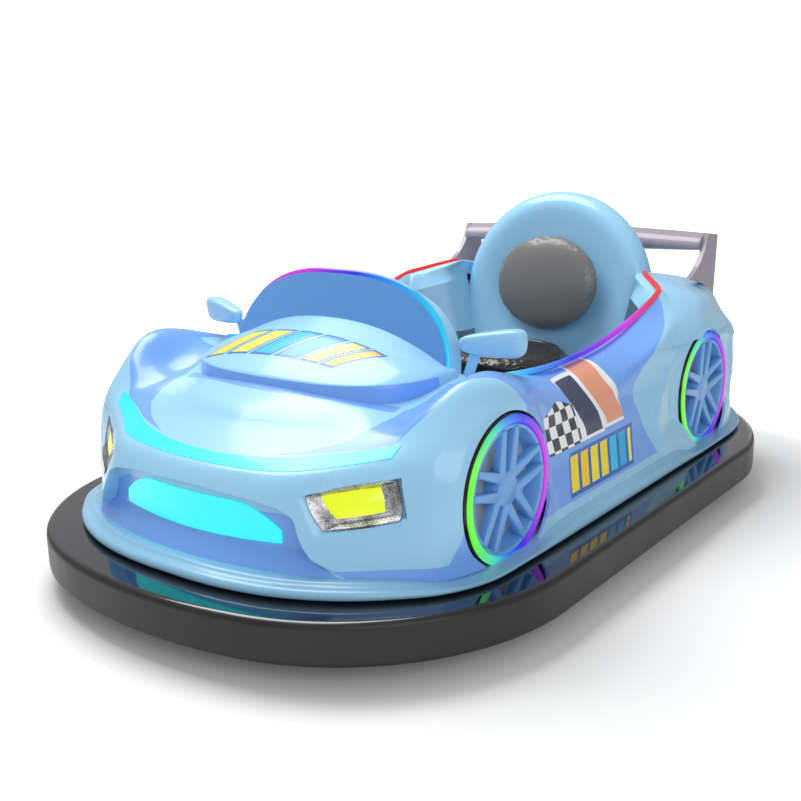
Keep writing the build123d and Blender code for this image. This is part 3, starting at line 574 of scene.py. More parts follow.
def smooth_curve(keys, stations):
    """Runs a smooth curve through rows of station, x, y, z, mirrored at both ends."""
    keys = np.array(keys, float)
    first, last = keys[1].copy(), keys[-2].copy()
    first[0], last[0] = 2 * keys[0, 0] - first[0], 2 * keys[-1, 0] - last[0]
    first[2], last[2] = -first[2], -last[2]
    keys = np.vstack([first, keys, last])
    at, points = keys[:, 0], keys[:, 1:]
    slopes = np.gradient(points, at, axis=0)
    out = []
    for station in stations:
        k = min(max(np.searchsorted(at, station, "right") - 1, 1), len(at) - 3)
        width = at[k + 1] - at[k]
        t = (station - at[k]) / width
        h00, h10 = (1 + 2 * t) * (1 - t) ** 2, t * (1 - t) ** 2
        h01, h11 = t * t * (3 - 2 * t), t * t * (t - 1)
        out.append(h00 * points[k] + h10 * width * slopes[k]
                   + h01 * points[k + 1] + h11 * width * slopes[k + 1])
    return np.array(out)


def cage_for(points, closed_columns):
    """Cage whose subdivided surface passes through a grid of points."""
    def system(count, closed):
        weights = np.eye(count) * 4 + np.eye(count, k=1) + np.eye(count, k=-1)
        if closed:
            weights[0, -1] = weights[-1, 0] = 1
        else:
            weights[0], weights[-1] = 6 * np.eye(count)[0], 6 * np.eye(count)[-1]
        return weights / 6
    columns, rows = points.shape[:2]
    cage = np.linalg.solve(system(columns, closed_columns), points.reshape(columns, -1)).reshape(points.shape)
    cage = np.linalg.solve(system(rows, False), cage.transpose(1, 0, 2).reshape(rows, -1))
    return cage.reshape(rows, columns, 3).transpose(1, 0, 2)


def body_skin():
    """The whole body's outer skin, with a map of stations and lines."""
    half = int(STATIONS / STATION_STEP)
    count = 2 * half
    stations = [STATION_STEP * (half - abs(half - k)) for k in range(count)]
    lines = [smooth_curve(keys, stations) * MM for keys in BODY_LINES.values()]
    points = np.stack(lines, axis=1)
    points[half + 1:, :, 1] *= -1
    cage = cage_for(points, closed_columns=True)
    last = len(BODY_LINES) - 1

    def place(s, t):
        return Vector(cage[round(s * count) % count, round(t * last)])

    skin = grid("body_skin", count, last, place)
    chart = skin.data.uv_layers[0]
    chart.name = "lines"
    for loop in chart.data:
        loop.uv = (1 - abs(1 - 2 * loop.uv.x), loop.uv.y)
    with Edit(skin, "VERT") as edit:
        edit.everything()
        bpy.ops.mesh.remove_doubles(threshold=1e-5)
        bpy.ops.mesh.normals_make_consistent(inside=False)
    modify(skin, "SUBSURF", levels=3, render_levels=3, boundary_smooth="PRESERVE_CORNERS", uv_smooth="NONE")
    return skin


def eased(value, width):
    """0 below zero, 1 above width, with a soft ramp between."""
    t = np.clip(value / width, 0, 1)
    return t * t * (3 - 2 * t)


# Headlamp parts in the front view: inner top, outer top, outer bottom and inner bottom, as y, z
SOCKET = ((0.250, 0.309), (0.404, 0.341), (0.422, 0.265), (0.291, 0.239))
BEZEL = ((0.265, 0.3095), (0.399, 0.337), (0.414, 0.268), (0.303, 0.250))
LENS = ((0.282, 0.3085), (0.374, 0.325), (0.387, 0.280), (0.314, 0.2675))
SOCKET_DEPTH = 0.017

# Lower grille: half width of the recess against z, and the plane at its back
RECESS_Z = (0.165, 0.175, 0.185, 0.200, 0.222, 0.248, 0.262, 0.275, 0.288, 0.296, 0.302)
RECESS_HALF = (0.356, 0.338, 0.315, 0.292, 0.278, 0.265, 0.260, 0.250, 0.222, 0.165, 0.0)
RECESS_BACK = 0.845
GRILLE_HALF = 0.213

# Door: where its hollow meets the front and rear fenders (z, x), and the rear fender's crease
DOOR_FRONT = ((0.17, 0.36), (0.37, 0.38), (0.40, 0.40), (0.44, 0.43), (0.48, 0.47))
DOOR_REAR = ((0.17, -0.165), (0.226, -0.125), (0.269, -0.105), (0.342, -0.088), (0.382, -0.096),
             (0.407, -0.144), (0.425, -0.172), (0.44, -0.245), (0.48, -0.30))
FENDER_CREASE = ((0.17, -0.185), (0.197, -0.178), (0.26, -0.168), (0.305, -0.19), (0.36, -0.25),
                 (0.411, -0.355), (0.42, -0.36))
DOOR_HOLLOW = ((0.166, 0.0), (0.20, 0.008), (0.26, 0.026), (0.34, 0.034), (0.39, 0.026), (0.43, 0.012),
               (0.46, 0.0))
# Rear fender's brow: its height, and how far the space under it is sunk
BROW_Z = 0.418
BROW_OVERHANG = 0.017


def corners_place(corners, s, t):
    """Point (y, z) in a four-cornered lamp outline for s across and t up, both from -1 to 1."""
    s, t = (s + 1) / 2, (t + 1) / 2
    inner_top, outer_top, outer_low, inner_low = (Vector(corner) for corner in corners)
    point = inner_low.lerp(outer_low, s).lerp(inner_top.lerp(outer_top, s), t)
    return point.x, point.y


def corners_chart(corners, y, z):
    """Distances in metres inside each edge of the outline: top, outer, bottom, inner."""
    inner_top, outer_top, outer_low, inner_low = (np.array(corner) for corner in corners)
    inside = []
    for start, end in ((inner_top, outer_top), (outer_top, outer_low), (outer_low, inner_low),
                       (inner_low, inner_top)):
        along = (end - start) / np.linalg.norm(end - start)
        inside.append(-(along[0] * (z - start[1]) - along[1] * (y - start[0])))
    return inside


def refine(skin, test):
    """Halves the faces whose middle passes the test."""
    with Edit(skin) as edit:
        edit.pick(lambda face: test(*face.calc_center_median()))
        bpy.ops.mesh.subdivide(number_cuts=1)


def table(rows, z):
    """Straight runs between rows of height and value."""
    return np.interp(z, *zip(*rows))


def inside_recess(side, z):
    """Distance in metres inside the edge of the lower grille's recess."""
    return np.minimum(np.interp(z, RECESS_Z, RECESS_HALF) - side,
                      np.interp(side, RECESS_HALF[::-1], RECESS_Z[::-1]) - z)


def sculpt(skin):
    """Sinks the lower grille, lamp sockets, doors and the space under the rear brows into the skin."""
    refine(skin, lambda x, y, z: x > 0.70 and z < 0.345)
    refine(skin, lambda x, y, z: x > 0.66 and z < 0.37 and 0.22 < abs(y) < 0.46)
    refine(skin, lambda x, y, z: x > 0.70 and z < 0.345 and -0.010 < inside_recess(abs(y), z) < 0.020)
    refine(skin, lambda x, y, z: -0.74 < x < -0.02 and abs(y) > 0.44 and z < 0.46)
    refine(skin, lambda x, y, z: -0.66 < x < -0.08 and abs(y) > 0.47 and 0.39 < z < 0.435)
    mesh = skin.data
    count = len(mesh.vertices)
    co = np.empty(count * 3)
    mesh.vertices.foreach_get("co", co)
    co = co.reshape(-1, 3)
    x, y, z = co.T.copy()
    side = np.abs(y)
    recess = eased(inside_recess(side, z), 0.011) * (x > 0.7)
    back = RECESS_BACK - side ** 2 * 0.62 + np.clip(0.205 - z, 0, 1) * 0.85
    co[:, 0] = np.where(back < x, x + (back - x) * recess, x)
    marks = mesh.attributes.new("recess", "FLOAT", "POINT")
    marks.data.foreach_set("value", recess.astype(np.float32))
    top, outer, low, inner = corners_chart(SOCKET, side, z)
    socket = eased(top, 0.005) * eased(outer, 0.005) * eased(low, 0.013) * eased(inner, 0.030)
    co[:, 0] -= SOCKET_DEPTH * socket * (x > 0.6)
    sign = np.sign(y)
    fender = side > 0.3
    ahead, behind, crease = table(DOOR_FRONT, z), table(DOOR_REAR, z), table(FENDER_CREASE, z)
    door = np.clip((ahead - x) / 0.05, 0, 1) * np.clip((x - crease) / (behind - crease), 0, 1)
    under = np.clip((behind - x) / 0.16, 0, 1) * eased(x + 0.69, 0.05)
    under *= eased(BROW_Z - z, 0.004) * eased(z - 0.185, 0.06)
    above = np.clip((-0.42 - x) / 0.12, 0, 1) * np.sin(np.pi * np.clip((z - 0.402) / 0.085, 0, 1)) * 0.013
    push = table(DOOR_HOLLOW, z) * door + BROW_OVERHANG * under + above * (x > -0.80)
    co[:, 1] -= sign * push * fender
    mesh.vertices.foreach_set("co", co.ravel())
    mesh.update()


def wheel_places():
    """Centres of the ornamental wheels, from the CAD's own solids."""
    low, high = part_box("side_wheel_rims")
    radius = (high.z - low.z) / 2
    z = (low.z + high.z) / 2
    return [("front", high.x - radius - 0.010, z - 0.003), ("rear", low.x + radius - 0.008, z - 0.003)]


# Ornamental wheels: their outer face, the radius of the openings in the skin, and how far the skin
# beside an opening may stay behind the face, over the width in which it comes out
WHEEL_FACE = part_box("side_wheel_rims")[1].y - 0.006
OPENING_R = 0.1505
FLARE_SHORT, FLARE_WIDTH = 0.009, 0.036
FLANK_Y = 0.4


def cut_wheel_openings(skin):
    """Opens the skin over the ornamental wheels, rounds the openings' edges and flares the skin to them."""
    for _, x, z in wheel_places():
        def reach(place):
            return math.hypot(place.x - x, place.z - z)

        with Edit(skin) as edit:
            edit.pick(lambda face: abs(face.calc_center_median().y) > FLANK_Y
                      and reach(face.calc_center_median()) < OPENING_R)
            bpy.ops.mesh.delete(type="FACE")
            mesh = bmesh.from_edit_mesh(skin.data)
            for vertex in mesh.verts:
                if vertex.is_boundary and vertex.co.z > 0.155 and abs(reach(vertex.co) - OPENING_R) < 0.02:
                    scale = OPENING_R / reach(vertex.co)
                    vertex.co.x, vertex.co.z = x + (vertex.co.x - x) * scale, z + (vertex.co.z - z) * scale
            for vertex in mesh.verts:
                short = WHEEL_FACE - FLARE_SHORT - abs(vertex.co.y)
                if abs(vertex.co.y) > FLANK_Y and short > 0:
                    flare = short * float(eased(FLARE_WIDTH + OPENING_R - reach(vertex.co), FLARE_WIDTH))
                    vertex.co.y += math.copysign(flare, vertex.co.y)
            bmesh.update_edit_mesh(skin.data)


def split_panels(skin):
    """Front, side and tail panels cut from the skin along its stations."""
    made = {}
    for name, (first, last) in PANELS.items():
        panel = own_copy(skin, name)
        mesh = bmesh.new()
        mesh.from_mesh(panel.data)
        chart = mesh.loops.layers.uv["lines"]

        def station(face):
            return sum(loop[chart].uv.x for loop in face.loops) / len(face.loops) * STATIONS

        outside = [face for face in mesh.faces if not first < station(face) < last]
        bmesh.ops.delete(mesh, geom=outside, context="FACES")
        mesh.to_mesh(panel.data)
        mesh.free()
        modify(panel, "SOLIDIFY", thickness=SKIN, offset=-1, use_even_offset=False)
        made[name] = panel
    return made


def project(name, columns, rows, place, skin, relief, thick):
    """Inlay on the nose: a sheet laid on the skin from ahead, then raised by relief(s, t)."""
    spots = []

    def ahead(s, t):
        spots.append((2 * s - 1, 2 * t - 1))
        y, z = place(*spots[-1])
        return Vector((1.1, y, z))
    piece = grid(name, columns, rows, ahead)
    modify(piece, "SHRINKWRAP", target=skin, wrap_method="PROJECT", use_project_x=True, use_project_y=False,
           use_project_z=False, use_positive_direction=False, use_negative_direction=True)
    for vertex, (s, t) in zip(piece.data.vertices, spots):
        vertex.co.x += relief(s, t)
    with Edit(piece) as edit:
        edit.everything()
        bpy.ops.mesh.normals_make_consistent(inside=False)
        mesh = bmesh.from_edit_mesh(piece.data)
        if sum(face.normal.x for face in mesh.faces) < 0:
            bpy.ops.mesh.flip_normals()
    modify(piece, "SOLIDIFY", thickness=thick, offset=-1)
    return piece


def rounded(s, t, k=0.5):
    """Square grid drawn in to a rounded one."""
    return s * math.sqrt(1 - k * t * t / 2), t * math.sqrt(1 - k * s * s / 2)


def own_copy(obj, name):
    """Copy with a mesh of its own."""
    twin = obj.copy()
    twin.data = obj.data.copy()
    twin.name = twin.data.name = name
    bpy.context.scene.collection.objects.link(twin)
    return twin


def mirrored_copy(obj, name, axis=1):
    """Copy on the other side of an axis plane, with its faces turned back outwards."""
    twin = own_copy(obj, name)
    for vertex in twin.data.vertices:
        vertex.co[axis] *= -1
    with Edit(twin) as edit:
        edit.everything()
        bpy.ops.mesh.flip_normals()
    return twin


def finished_pair(left, material, slot, replaces=()):
    """Finishes a left piece and its mirrored twin, each with its own side's CAD nodes."""
    right = mirrored_copy(left, left.name.replace("left", "right"))
    finished(right, material, slot, [node.replace("left", "right") for node in replaces])
    finished(left, material, slot, replaces)


def spun(name, profile, steps=96):
    """Turned piece about its own Y axis from a profile of radius and y."""
    bpy.ops.mesh.primitive_circle_add(vertices=len(profile), radius=1)
    obj = fresh(name)
    for vertex, (radius, y) in zip(obj.data.vertices, profile):
        vertex.co = (radius, y, 0)
    with Edit(obj, "VERT") as edit:
        edit.everything()
        bpy.ops.mesh.spin(steps=steps, angle=2 * math.pi, center=(0, 0, 0), axis=(0, 1, 0))
        bpy.ops.mesh.remove_doubles(threshold=1e-5)
        bpy.ops.mesh.normals_make_consistent(inside=False)
    return obj


# ------------------------------------------------------------------ pieces: body


def make_body(paint):
    """The body's skin, sculpted, opened for the wheels and split into its three panels."""
    skin = body_skin()
    sculpt(skin)
    cut_wheel_openings(skin)
    panels = split_panels(skin)
    finished(panels["front_shell"], paint, "body_gloss", replaces=["front_body", "fascia_panel"])
    finished(panels["side_panel"], paint, "accent_gloss", replaces=["left_side_panel", "right_side_panel"])
    finished(panels["tail_shell"], paint, "body_gloss", replaces=["rear_body"])
    return skin


def make_nose_lights(skin):
    """Light strip, lit grille and headlamps, inlaid in the nose."""
    def strip(s, t):
        y = 0.376 * s
        low, high = 0.339 + 0.12 * y * y + 0.8 * y ** 4, 0.351 + 0.23 * y * y + 0.35 * y ** 4
        return y + math.copysign(0.006, s) * (t + 1) / 2 * abs(s) ** 8, low + (high - low) * (t + 1) / 2

    piece = project("nose_strip", 72, 4, strip, skin, lambda s, t: 0.003, 0.008)
    finished(piece, lit("strip_cyan", rgb(0, 247, 255)), "light_cyan", replaces=["nose_light_strip"])

    def grille(s, t):
        y = GRILLE_HALF * s
        low = 0.208 + 0.004 * s * s
        top = 0.281 - 0.045 * max(0.0, (abs(y) - 0.10) / 0.113) ** 2.2
        return y, low + (top - low) * (t + 1) / 2

    piece = project("grille_panel", 56, 10, grille, skin, lambda s, t: 0.004, 0.008)
    finished(piece, lit("grille_cyan", rgb(0, 247, 255)), "light_cyan", replaces=["grille_light"])

    def bezel_dish(s, t):
        edge = max(abs(s), abs(t))
        return 0.011 - 0.007 * float(eased(1 - edge, 0.30)) + 0.003 * (s + 1) / 2

    def lens_dome(s, t):
        return 0.008 + 0.005 * (1 - s * s) * (1 - t * t) + 0.003 * (s + 1) / 2

    bezel = project("left_bezel", 30, 20, lambda s, t: corners_place(BEZEL, *rounded(s, t, 0.16)), skin,
                    bezel_dish, 0.005)
    lens = project("left_lens", 20, 14, lambda s, t: corners_place(LENS, *rounded(s, t, 0.22)), skin,
                   lens_dome, 0.008)
    yellow, chrome = lit("lens_yellow", rgb(236, 255, 0)), speckled_chrome()
    finished_pair(lens, yellow, "light_yellow", ["headlight_lenses"])
    finished_pair(bezel, chrome, "bezel_chrome", ["headlight_bezels"])


# Bonnet's front edge from the middle outwards, as y, x
BONNET_EDGE = [(0.0, 0.622), (0.09, 0.619), (0.14, 0.6165), (0.195, 0.602), (0.25, 0.570), (0.277, 0.540),
               (0.293, 0.505), (0.304, 0.460), (0.308, 0.405)]


def make_bonnet(paint):
    """Raised dome with a stepped front lip."""
    edge = np.array(BONNET_EDGE)
    run = np.concatenate([[0], np.cumsum(np.linalg.norm(np.diff(edge, axis=0), axis=1))])
    run /= run[-1]

    def place(s, t):
        c = 2 * s - 1
        y = math.copysign(np.interp(abs(c), run, edge[:, 0]), c)
        x = np.interp(abs(c), run, edge[:, 1])
        glass_y = 0.306 * math.sin(c * math.pi / 2)
        glass_x = 0.414 - 0.28 * glass_y * glass_y
        w = glass_y / 0.306
        low, high = 0.4595 + 0.003 * c * c, 0.552 - 0.088 * abs(w) ** 2.3
        dome = 0.013 * math.sin(math.pi * min(1.0, t * 1.1)) * (1 - c * c)
        return Vector((x + (glass_x - x) * t, y + (glass_y - y) * t, low + (high - low) * t ** 0.9 + dome))

    bonnet = grid("bonnet", 16, 7, place)
    with Edit(bonnet, "EDGE") as edit:
        edit.everything()
        bpy.ops.mesh.normals_make_consistent(inside=False)
        edit.pick(lambda edge: edge.is_boundary)
        bpy.ops.mesh.extrude_region_move(TRANSFORM_OT_translate={"value": (0, 0, -0.004)})
        bpy.ops.transform.resize(value=(1.004, 1.006, 1))
        bpy.ops.mesh.extrude_region_move(TRANSFORM_OT_translate={"value": (0, 0, -0.010)})
        bpy.ops.transform.resize(value=(1.008, 1.008, 1))
        bpy.ops.mesh.extrude_region_move(TRANSFORM_OT_translate={"value": (0, 0, -0.012)})
        bpy.ops.transform.resize(value=(1.008, 1.006, 1))
        bpy.ops.mesh.extrude_region_move(TRANSFORM_OT_translate={"value": (0, 0, -0.020)})
    modify(bonnet, "SUBSURF", levels=3, render_levels=3)
    modify(bonnet, "SOLIDIFY", thickness=0.004, offset=-1)
    return finished(settle(bonnet), paint, "body_gloss", replaces=["hood_panel"])


def bonnet_paint():
    """Light blue with the cornflower step, partly painted shade under its lip, and a stripe design across it.
    """
    finish = Finish("bonnet_paint", **GEL_COAT)
    x, y, z = finish.place()
    side = y.abs()
    # Partly painted shade: the cornflower on the bonnet's stepped skirt is accent paint and also stands for
    # the shade under its lip.
    step = z.below(0.4565 + side * side * 0.05) * x.above(0.45)
    base = finish.mix(step, sky_coat(finish), cornflower_coat(finish))
    slant = y + (x - 0.53) * 0.9
    design = base
    bars = [(-0.185, 0.050, rgb(255, 226, 70)), (-0.115, 0.050, rgb(255, 238, 95)),
            (-0.045, 0.050, rgb(40, 190, 235)), (0.025, 0.050, rgb(30, 165, 225)),
            (0.095, 0.036, rgb(255, 238, 95)), (0.147, 0.024, rgb(255, 190, 50))]
    tall = x.between(0.496, 0.570)
    for start, wide, colour in bars:
        near = slant.between(start - 0.006, start + wide + 0.006) * x.between(0.490, 0.576)
        inside = slant.between(start, start + wide) * tall
        design = finish.mix(near, design, rgb(45, 110, 185))
        design = finish.mix(inside, design, colour)
    finish.feed("Base Color", design)
    gloss(finish)
    return finish.material


# Windscreen's edge from ahead: half its width, its foot, its height, and how square its corners are
SCREEN_HALF, SCREEN_LOW, SCREEN_TALL, SCREEN_ROUND = 0.298, 0.400, 0.243, 2.6


def screen_point(turn, inset, back):
    """Point on the windscreen's edge: turn from 0 at the left foot to pi at the right one."""
    power = 2 / SCREEN_ROUND
    y = math.copysign((SCREEN_HALF - inset) * abs(math.cos(turn)) ** power, math.cos(turn))
    z = SCREEN_LOW + (SCREEN_TALL - inset) * math.sin(turn) ** power
    return Vector((screen_x(y, z) - back, y, z))


def screen_x(y, z):
    """The windscreen's bowed, raked surface."""
    return 0.417 + (0.551 - z) * 0.3 - 0.36 * y * y


def make_windscreen():
    """Bowed pane, its light guide and the moulding behind it."""
    def pane_place(s, t):
        y = (SCREEN_HALF - 0.003) * math.sin((2 * s - 1) * math.pi / 2 * 0.985)
        rise = (1 - (abs(y) / SCREEN_HALF) ** SCREEN_ROUND) ** (1 / SCREEN_ROUND)
        z = 0.430 + (SCREEN_LOW + (SCREEN_TALL - 0.003) * rise - 0.430) * t
        return Vector((screen_x(y, z), y, z))

    pane = settle(grid("screen_pane", 56, 24, pane_place))
    modify(pane, "SOLIDIFY", thickness=0.008, offset=1 if pane.data.polygons[0].normal.x < 0 else -1)
    blue = plain_paint("screen_blue", rgb(96, 156, 222), rgb(90, 150, 218), (0.18, 0.3))
    finished(settle(pane), blue, "screen_blue", replaces=["windscreen"])

    def turn_at(s):
        return math.radians(5) + s * math.radians(170)

    def guide_place(s, t):
        around = 2 * math.pi * t
        return screen_point(turn_at(s), 0.0005 - 0.0058 * math.cos(around), 0.0125 + 0.005 * math.sin(around))

    def along(finish):
        _, y, _ = finish.place()
        return y + 0.5

    glow = lit_run("screen_glow", along, [(0.3, SPECTRUM["magenta"]), (0.40, SPECTRUM["magenta"]),
                                          (0.47, SPECTRUM["purple"]), (0.54, SPECTRUM["blue"]),
                                          (0.62, SPECTRUM["azure"]), (0.74, SPECTRUM["cyan"])])
    guide = settle(grid("screen_guide", 96, 10, guide_place))
    with Edit(guide, "EDGE") as edit:
        edit.pick(lambda edge: edge.is_boundary)
        bpy.ops.mesh.edge_face_add()
    finished(settle(guide), glow, "light_strip", replaces=["windscreen_light"])

    section = [(0.006, 0.009), (-0.001, 0.012), (-0.001, 0.045), (0.003, 0.066), (0.012, 0.074),
               (0.020, 0.068), (0.018, 0.009), (0.006, 0.009)]

    def cowl_place(s, t):
        inset, back = section[round(t * (len(section) - 1))]
        point = screen_point(turn_at(s), inset, back)
        point.z -= 0.020 * back / 0.074 * math.sin(turn_at(s))
        return point

    cowl = settle(grid("screen_moulding", 72, len(section) - 1, cowl_place))
    modify(cowl, "BEVEL", width=0.003, segments=2, limit_method="ANGLE")
    moulding = plain_paint("moulding_paint", SKY, SKY_DEEP)
    finished(settle(cowl), moulding, "body_gloss", replaces=["cowl_moulding"])


def make_mirrors(paint):
    """Wedge-shaped mirror heads on short stalks."""
    low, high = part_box("left_mirror")
    bpy.ops.mesh.primitive_cube_add(size=1)
    head = fresh("left_mirror_head")
    head.scale = (0.070, 0.134, 0.084)
    apply_place()
    with Edit(head) as edit:
        edit.pick(lambda face: face.normal.y < -0.9)
        bpy.ops.transform.resize(value=(0.5, 1, 0.42))
        bpy.ops.transform.translate(value=(0.006, -0.006, -0.004))
        edit.pick(lambda face: face.normal.y > 0.9)
        bpy.ops.transform.resize(value=(0.72, 1, 0.8))
        bpy.ops.transform.translate(value=(0, 0.004, 0))
        edit.pick(lambda face: face.normal.z < -0.5)
        bpy.ops.transform.resize(value=(0.7, 0.94, 1))
        edit.everything()
        bpy.ops.mesh.subdivide(number_cuts=1)
    modify(head, "SUBSURF", levels=2, render_levels=2)
    head.rotation_euler = (math.radians(2), 0, math.radians(13))
    head.location = (high.x - 0.034, (low.y + high.y) / 2 - 0.003, high.z - 0.020)
    settle(head)
    bpy.ops.mesh.primitive_cylinder_add(vertices=24, radius=0.011, depth=0.060,
                                        location=(high.x - 0.038, low.y + 0.012, low.z + 0.020),
                                        rotation=(math.radians(-20), 0, 0))
    stalk = settle(fresh("left_mirror_stalk"))
    for piece in (head, stalk):
        finished_pair(piece, paint, "body_gloss", ["left_mirror"])


def make_wing():
    """Wing bar between the fins: thick in the middle, leaning forward."""
    low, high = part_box("rear_wing")
    centre = (low + high) / 2
    bpy.ops.mesh.primitive_cylinder_add(vertices=48, radius=1, depth=high.y - low.y,
                                        rotation=(math.pi / 2, 0, 0))
    bar = fresh("wing_bar")
    apply_place()
    with Edit(bar) as edit:
        edit.pick(lambda face: abs(face.normal.y) < 0.5)
        bpy.ops.mesh.subdivide(number_cuts=7)
    for vertex in bar.data.vertices:
        x, y, z = vertex.co
        thick = 0.0360 - 0.0110 * (abs(y) / high.y) ** 2
        flat = 0.7 if z < 0 else 1.0
        vertex.co = (x * 0.044, y, z * thick * flat)
    bar.rotation_euler = (0, math.radians(9), 0)
    bar.location = centre
    mauve = plain_paint("wing_mauve", MAUVE, MAUVE_DEEP, SATIN)
    finished(settle(bar), mauve, "wing_mauve", replaces=["rear_wing"])


# Height at which the cockpit's walls end
COCKPIT_FLOOR = 0.110


def make_liner():
    """Cockpit walls that fall from the sill inside the doors."""
    finish = Finish("liner_paint", Coat_Weight=0.3, Coat_Roughness=0.15)
    x, y, z = finish.place()
    # Painted shade: below z 0.352, and over the left wall's rear corner behind x -0.33, the walls get a dark
    # grey-blue in place of the light blue coat.
    unshaded_part = z.above(0.352) * (1 - y.above(0.0) * x.below(-0.33))
    painted_shade = paint_depth(finish, rgb(92, 122, 142), rgb(72, 98, 116))
    finish.feed("Base Color", finish.mix(unshaded_part, painted_shade, sky_coat(finish)))
    gloss(finish, 260, (0.25, 0.45))
    stations = np.linspace(8.0, 16.4, 44)
    sill = smooth_curve(BODY_LINES["sill"], stations) * MM
    levels = [(0.0, 0.0), (0.25, 0.012), (0.6, 0.030), (0.8, 0.040), (1.0, 0.044)]

    def place(s, t):
        x, y, z = sill[round(s * (len(sill) - 1))]
        drop, lean = levels[round(t * (len(levels) - 1))]
        back = max(0.0, -0.33 - x) / 0.15
        return Vector((x, y - lean * (1 + 1.2 * min(back, 1.0)), z + (COCKPIT_FLOOR - z) * drop))

    wall = grid("left_liner", len(sill) - 1, len(levels) - 1, place)
    modify(wall, "SUBSURF", levels=1, render_levels=1, boundary_smooth="PRESERVE_CORNERS")
    modify(wall, "SOLIDIFY", thickness=0.004, offset=0)
    finished_pair(settle(wall), finish.material, "interior")


def make_tail_lamps(skin):
    """Small red lamp let into each rear corner, at the height and spread of the CAD's lamps."""
    low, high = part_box("tail_lights")
    across = [vertex.co.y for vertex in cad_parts["tail_lights"].data.vertices if vertex.co.y > 0]
    y, z = (min(across) + max(across)) / 2, (low.z + high.z) / 2
    spot = min((vertex for vertex in skin.data.vertices if vertex.co.x < -0.6),
               key=lambda vertex: math.hypot(vertex.co.y - y, vertex.co.z - z))
    bpy.ops.mesh.primitive_cube_add(size=1)
    block = fresh("left_tail_lamp")
    block.scale = (0.018, max(across) - min(across), high.z - low.z)
    apply_place()
    modify(block, "BEVEL", width=0.006, segments=4, limit_method="ANGLE")
    block.rotation_euler = spot.normal.to_track_quat("X", "Z").to_euler()
    block.location = spot.co - spot.normal * 0.003
    settle(block)
    finished_pair(block, lit("lamp_red", rgb(150, 6, 10), 0.6), "lamp_red", ["tail_lights"])


# Stations where the light strip starts and ends, and how often its path is evened out
STRIP_START, STRIP_END, STRIP_ROUNDS = 8.2, 15.2, 160


def make_rim_lights(skin):
    """Light strip along the skin's rim line on each side of the cockpit, evened out at its corner."""
    mesh = skin.data
    chart = mesh.uv_layers["lines"].data
    rim_row = list(BODY_LINES).index("rim") / (len(BODY_LINES) - 1)
    found = {}
    for loop in mesh.loops:
        u, v = chart[loop.index].uv
        if abs(v - rim_row) < 1e-4 and STRIP_START < u * STATIONS < STRIP_END:
            found[loop.vertex_index] = u
    path = sorted((u, mesh.vertices[i].co.copy()) for i, u in found.items() if mesh.vertices[i].co.y > 0)

    def along(finish):
        x, _, _ = finish.place()
        return (x + 0.56) / 0.94

    glow = lit_run("rim_glow", along, [
        (0.0, SPECTRUM["red"]), (0.18, SPECTRUM["red"]), (0.25, rgb(220, 15, 70)),
        (0.38, SPECTRUM["magenta"]), (0.55, SPECTRUM["purple"]), (0.67, SPECTRUM["blue"]),
        (0.82, SPECTRUM["azure"]), (0.93, SPECTRUM["cyan"])])
    points = [co for _, co in path]
    last = len(points) - 1
    for _ in range(STRIP_ROUNDS):
        points[1:-1] = [(points[k - 1] + points[k] * 2 + points[k + 1]) / 4 for k in range(1, last)]

    def place(s, t):
        k = round(s * last)
        co = points[k]
        ahead = points[min(k + 1, last)] - points[max(k - 1, 0)]
        across = ahead.cross(Vector((0, 0, 1))).normalized()
        turn = 2 * math.pi * t
        return co + across * 0.0082 * math.cos(turn) + Vector((0, 0, 0.002 + 0.0068 * math.sin(turn)))

    left = settle(grid("left_rim_strip", last, 8, place))
    with Edit(left, "EDGE") as edit:
        edit.pick(lambda edge: edge.is_boundary)
        bpy.ops.mesh.fill()
    finished_pair(left, glow, "light_strip", ["left_rim_light"])


# Height of the lip's outer edge, and how deep its underside is drawn
LIP_LEVEL, LIP_DEPTH = 0.1455, 0.021


def make_lip(paint):
    """Flared skirt lip: a rounded flange with a ridge along its top, which dips at the wheels."""
    profile = [(-0.055, 1.0), (-0.014, 1.0), (-0.002, 0.99), (0.003, 0.66), (0.012, 0.56), (0.0215, 0.42),
               (0.025, 0.0), (0.0235, -0.25), (0.017, -0.4), (0.000, -0.42), (-0.055, -0.42)]
    rises = [(0, 0.022), (3.2, 0.021), (4.3, 0.013), (5.2, 0.003), (7.7, 0.003), (8.5, 0.026), (11.6, 0.026),
             (12.6, 0.004), (15.6, 0.004), (16.6, 0.022), (20, 0.022)]
    half = 60
    stations = [STATIONS * (1 - abs(1 - k / half)) for k in range(2 * half)]
    tops = np.interp(stations, *zip(*rises))
    foot = smooth_curve(LIP_LINE, stations) * MM
    foot[half + 1:, 1] *= -1
    ahead = np.roll(foot, -1, axis=0) - np.roll(foot, 1, axis=0)
    outwards = np.stack([-ahead[:, 1], ahead[:, 0]], axis=1)
    outwards /= np.linalg.norm(outwards, axis=1)[:, None]
    count, last = 2 * half, len(profile)

    def place(s, t):
        k = round(s * count) % count
        out, part = profile[round(t * last) % last]
        z = LIP_LEVEL + part * (tops[k] if part > 0 else LIP_DEPTH)
        return Vector((foot[k, 0] - outwards[k, 0] * out, foot[k, 1] - outwards[k, 1] * out, z))

    lip = settle(grid("skirt_lip", count, last, place))
    modify(lip, "SUBSURF", levels=1, render_levels=1)
    return finished(settle(lip), paint, "body_gloss", replaces=["body_lip"])


# ------------------------------------------------------------------ pieces: wheels on the sides


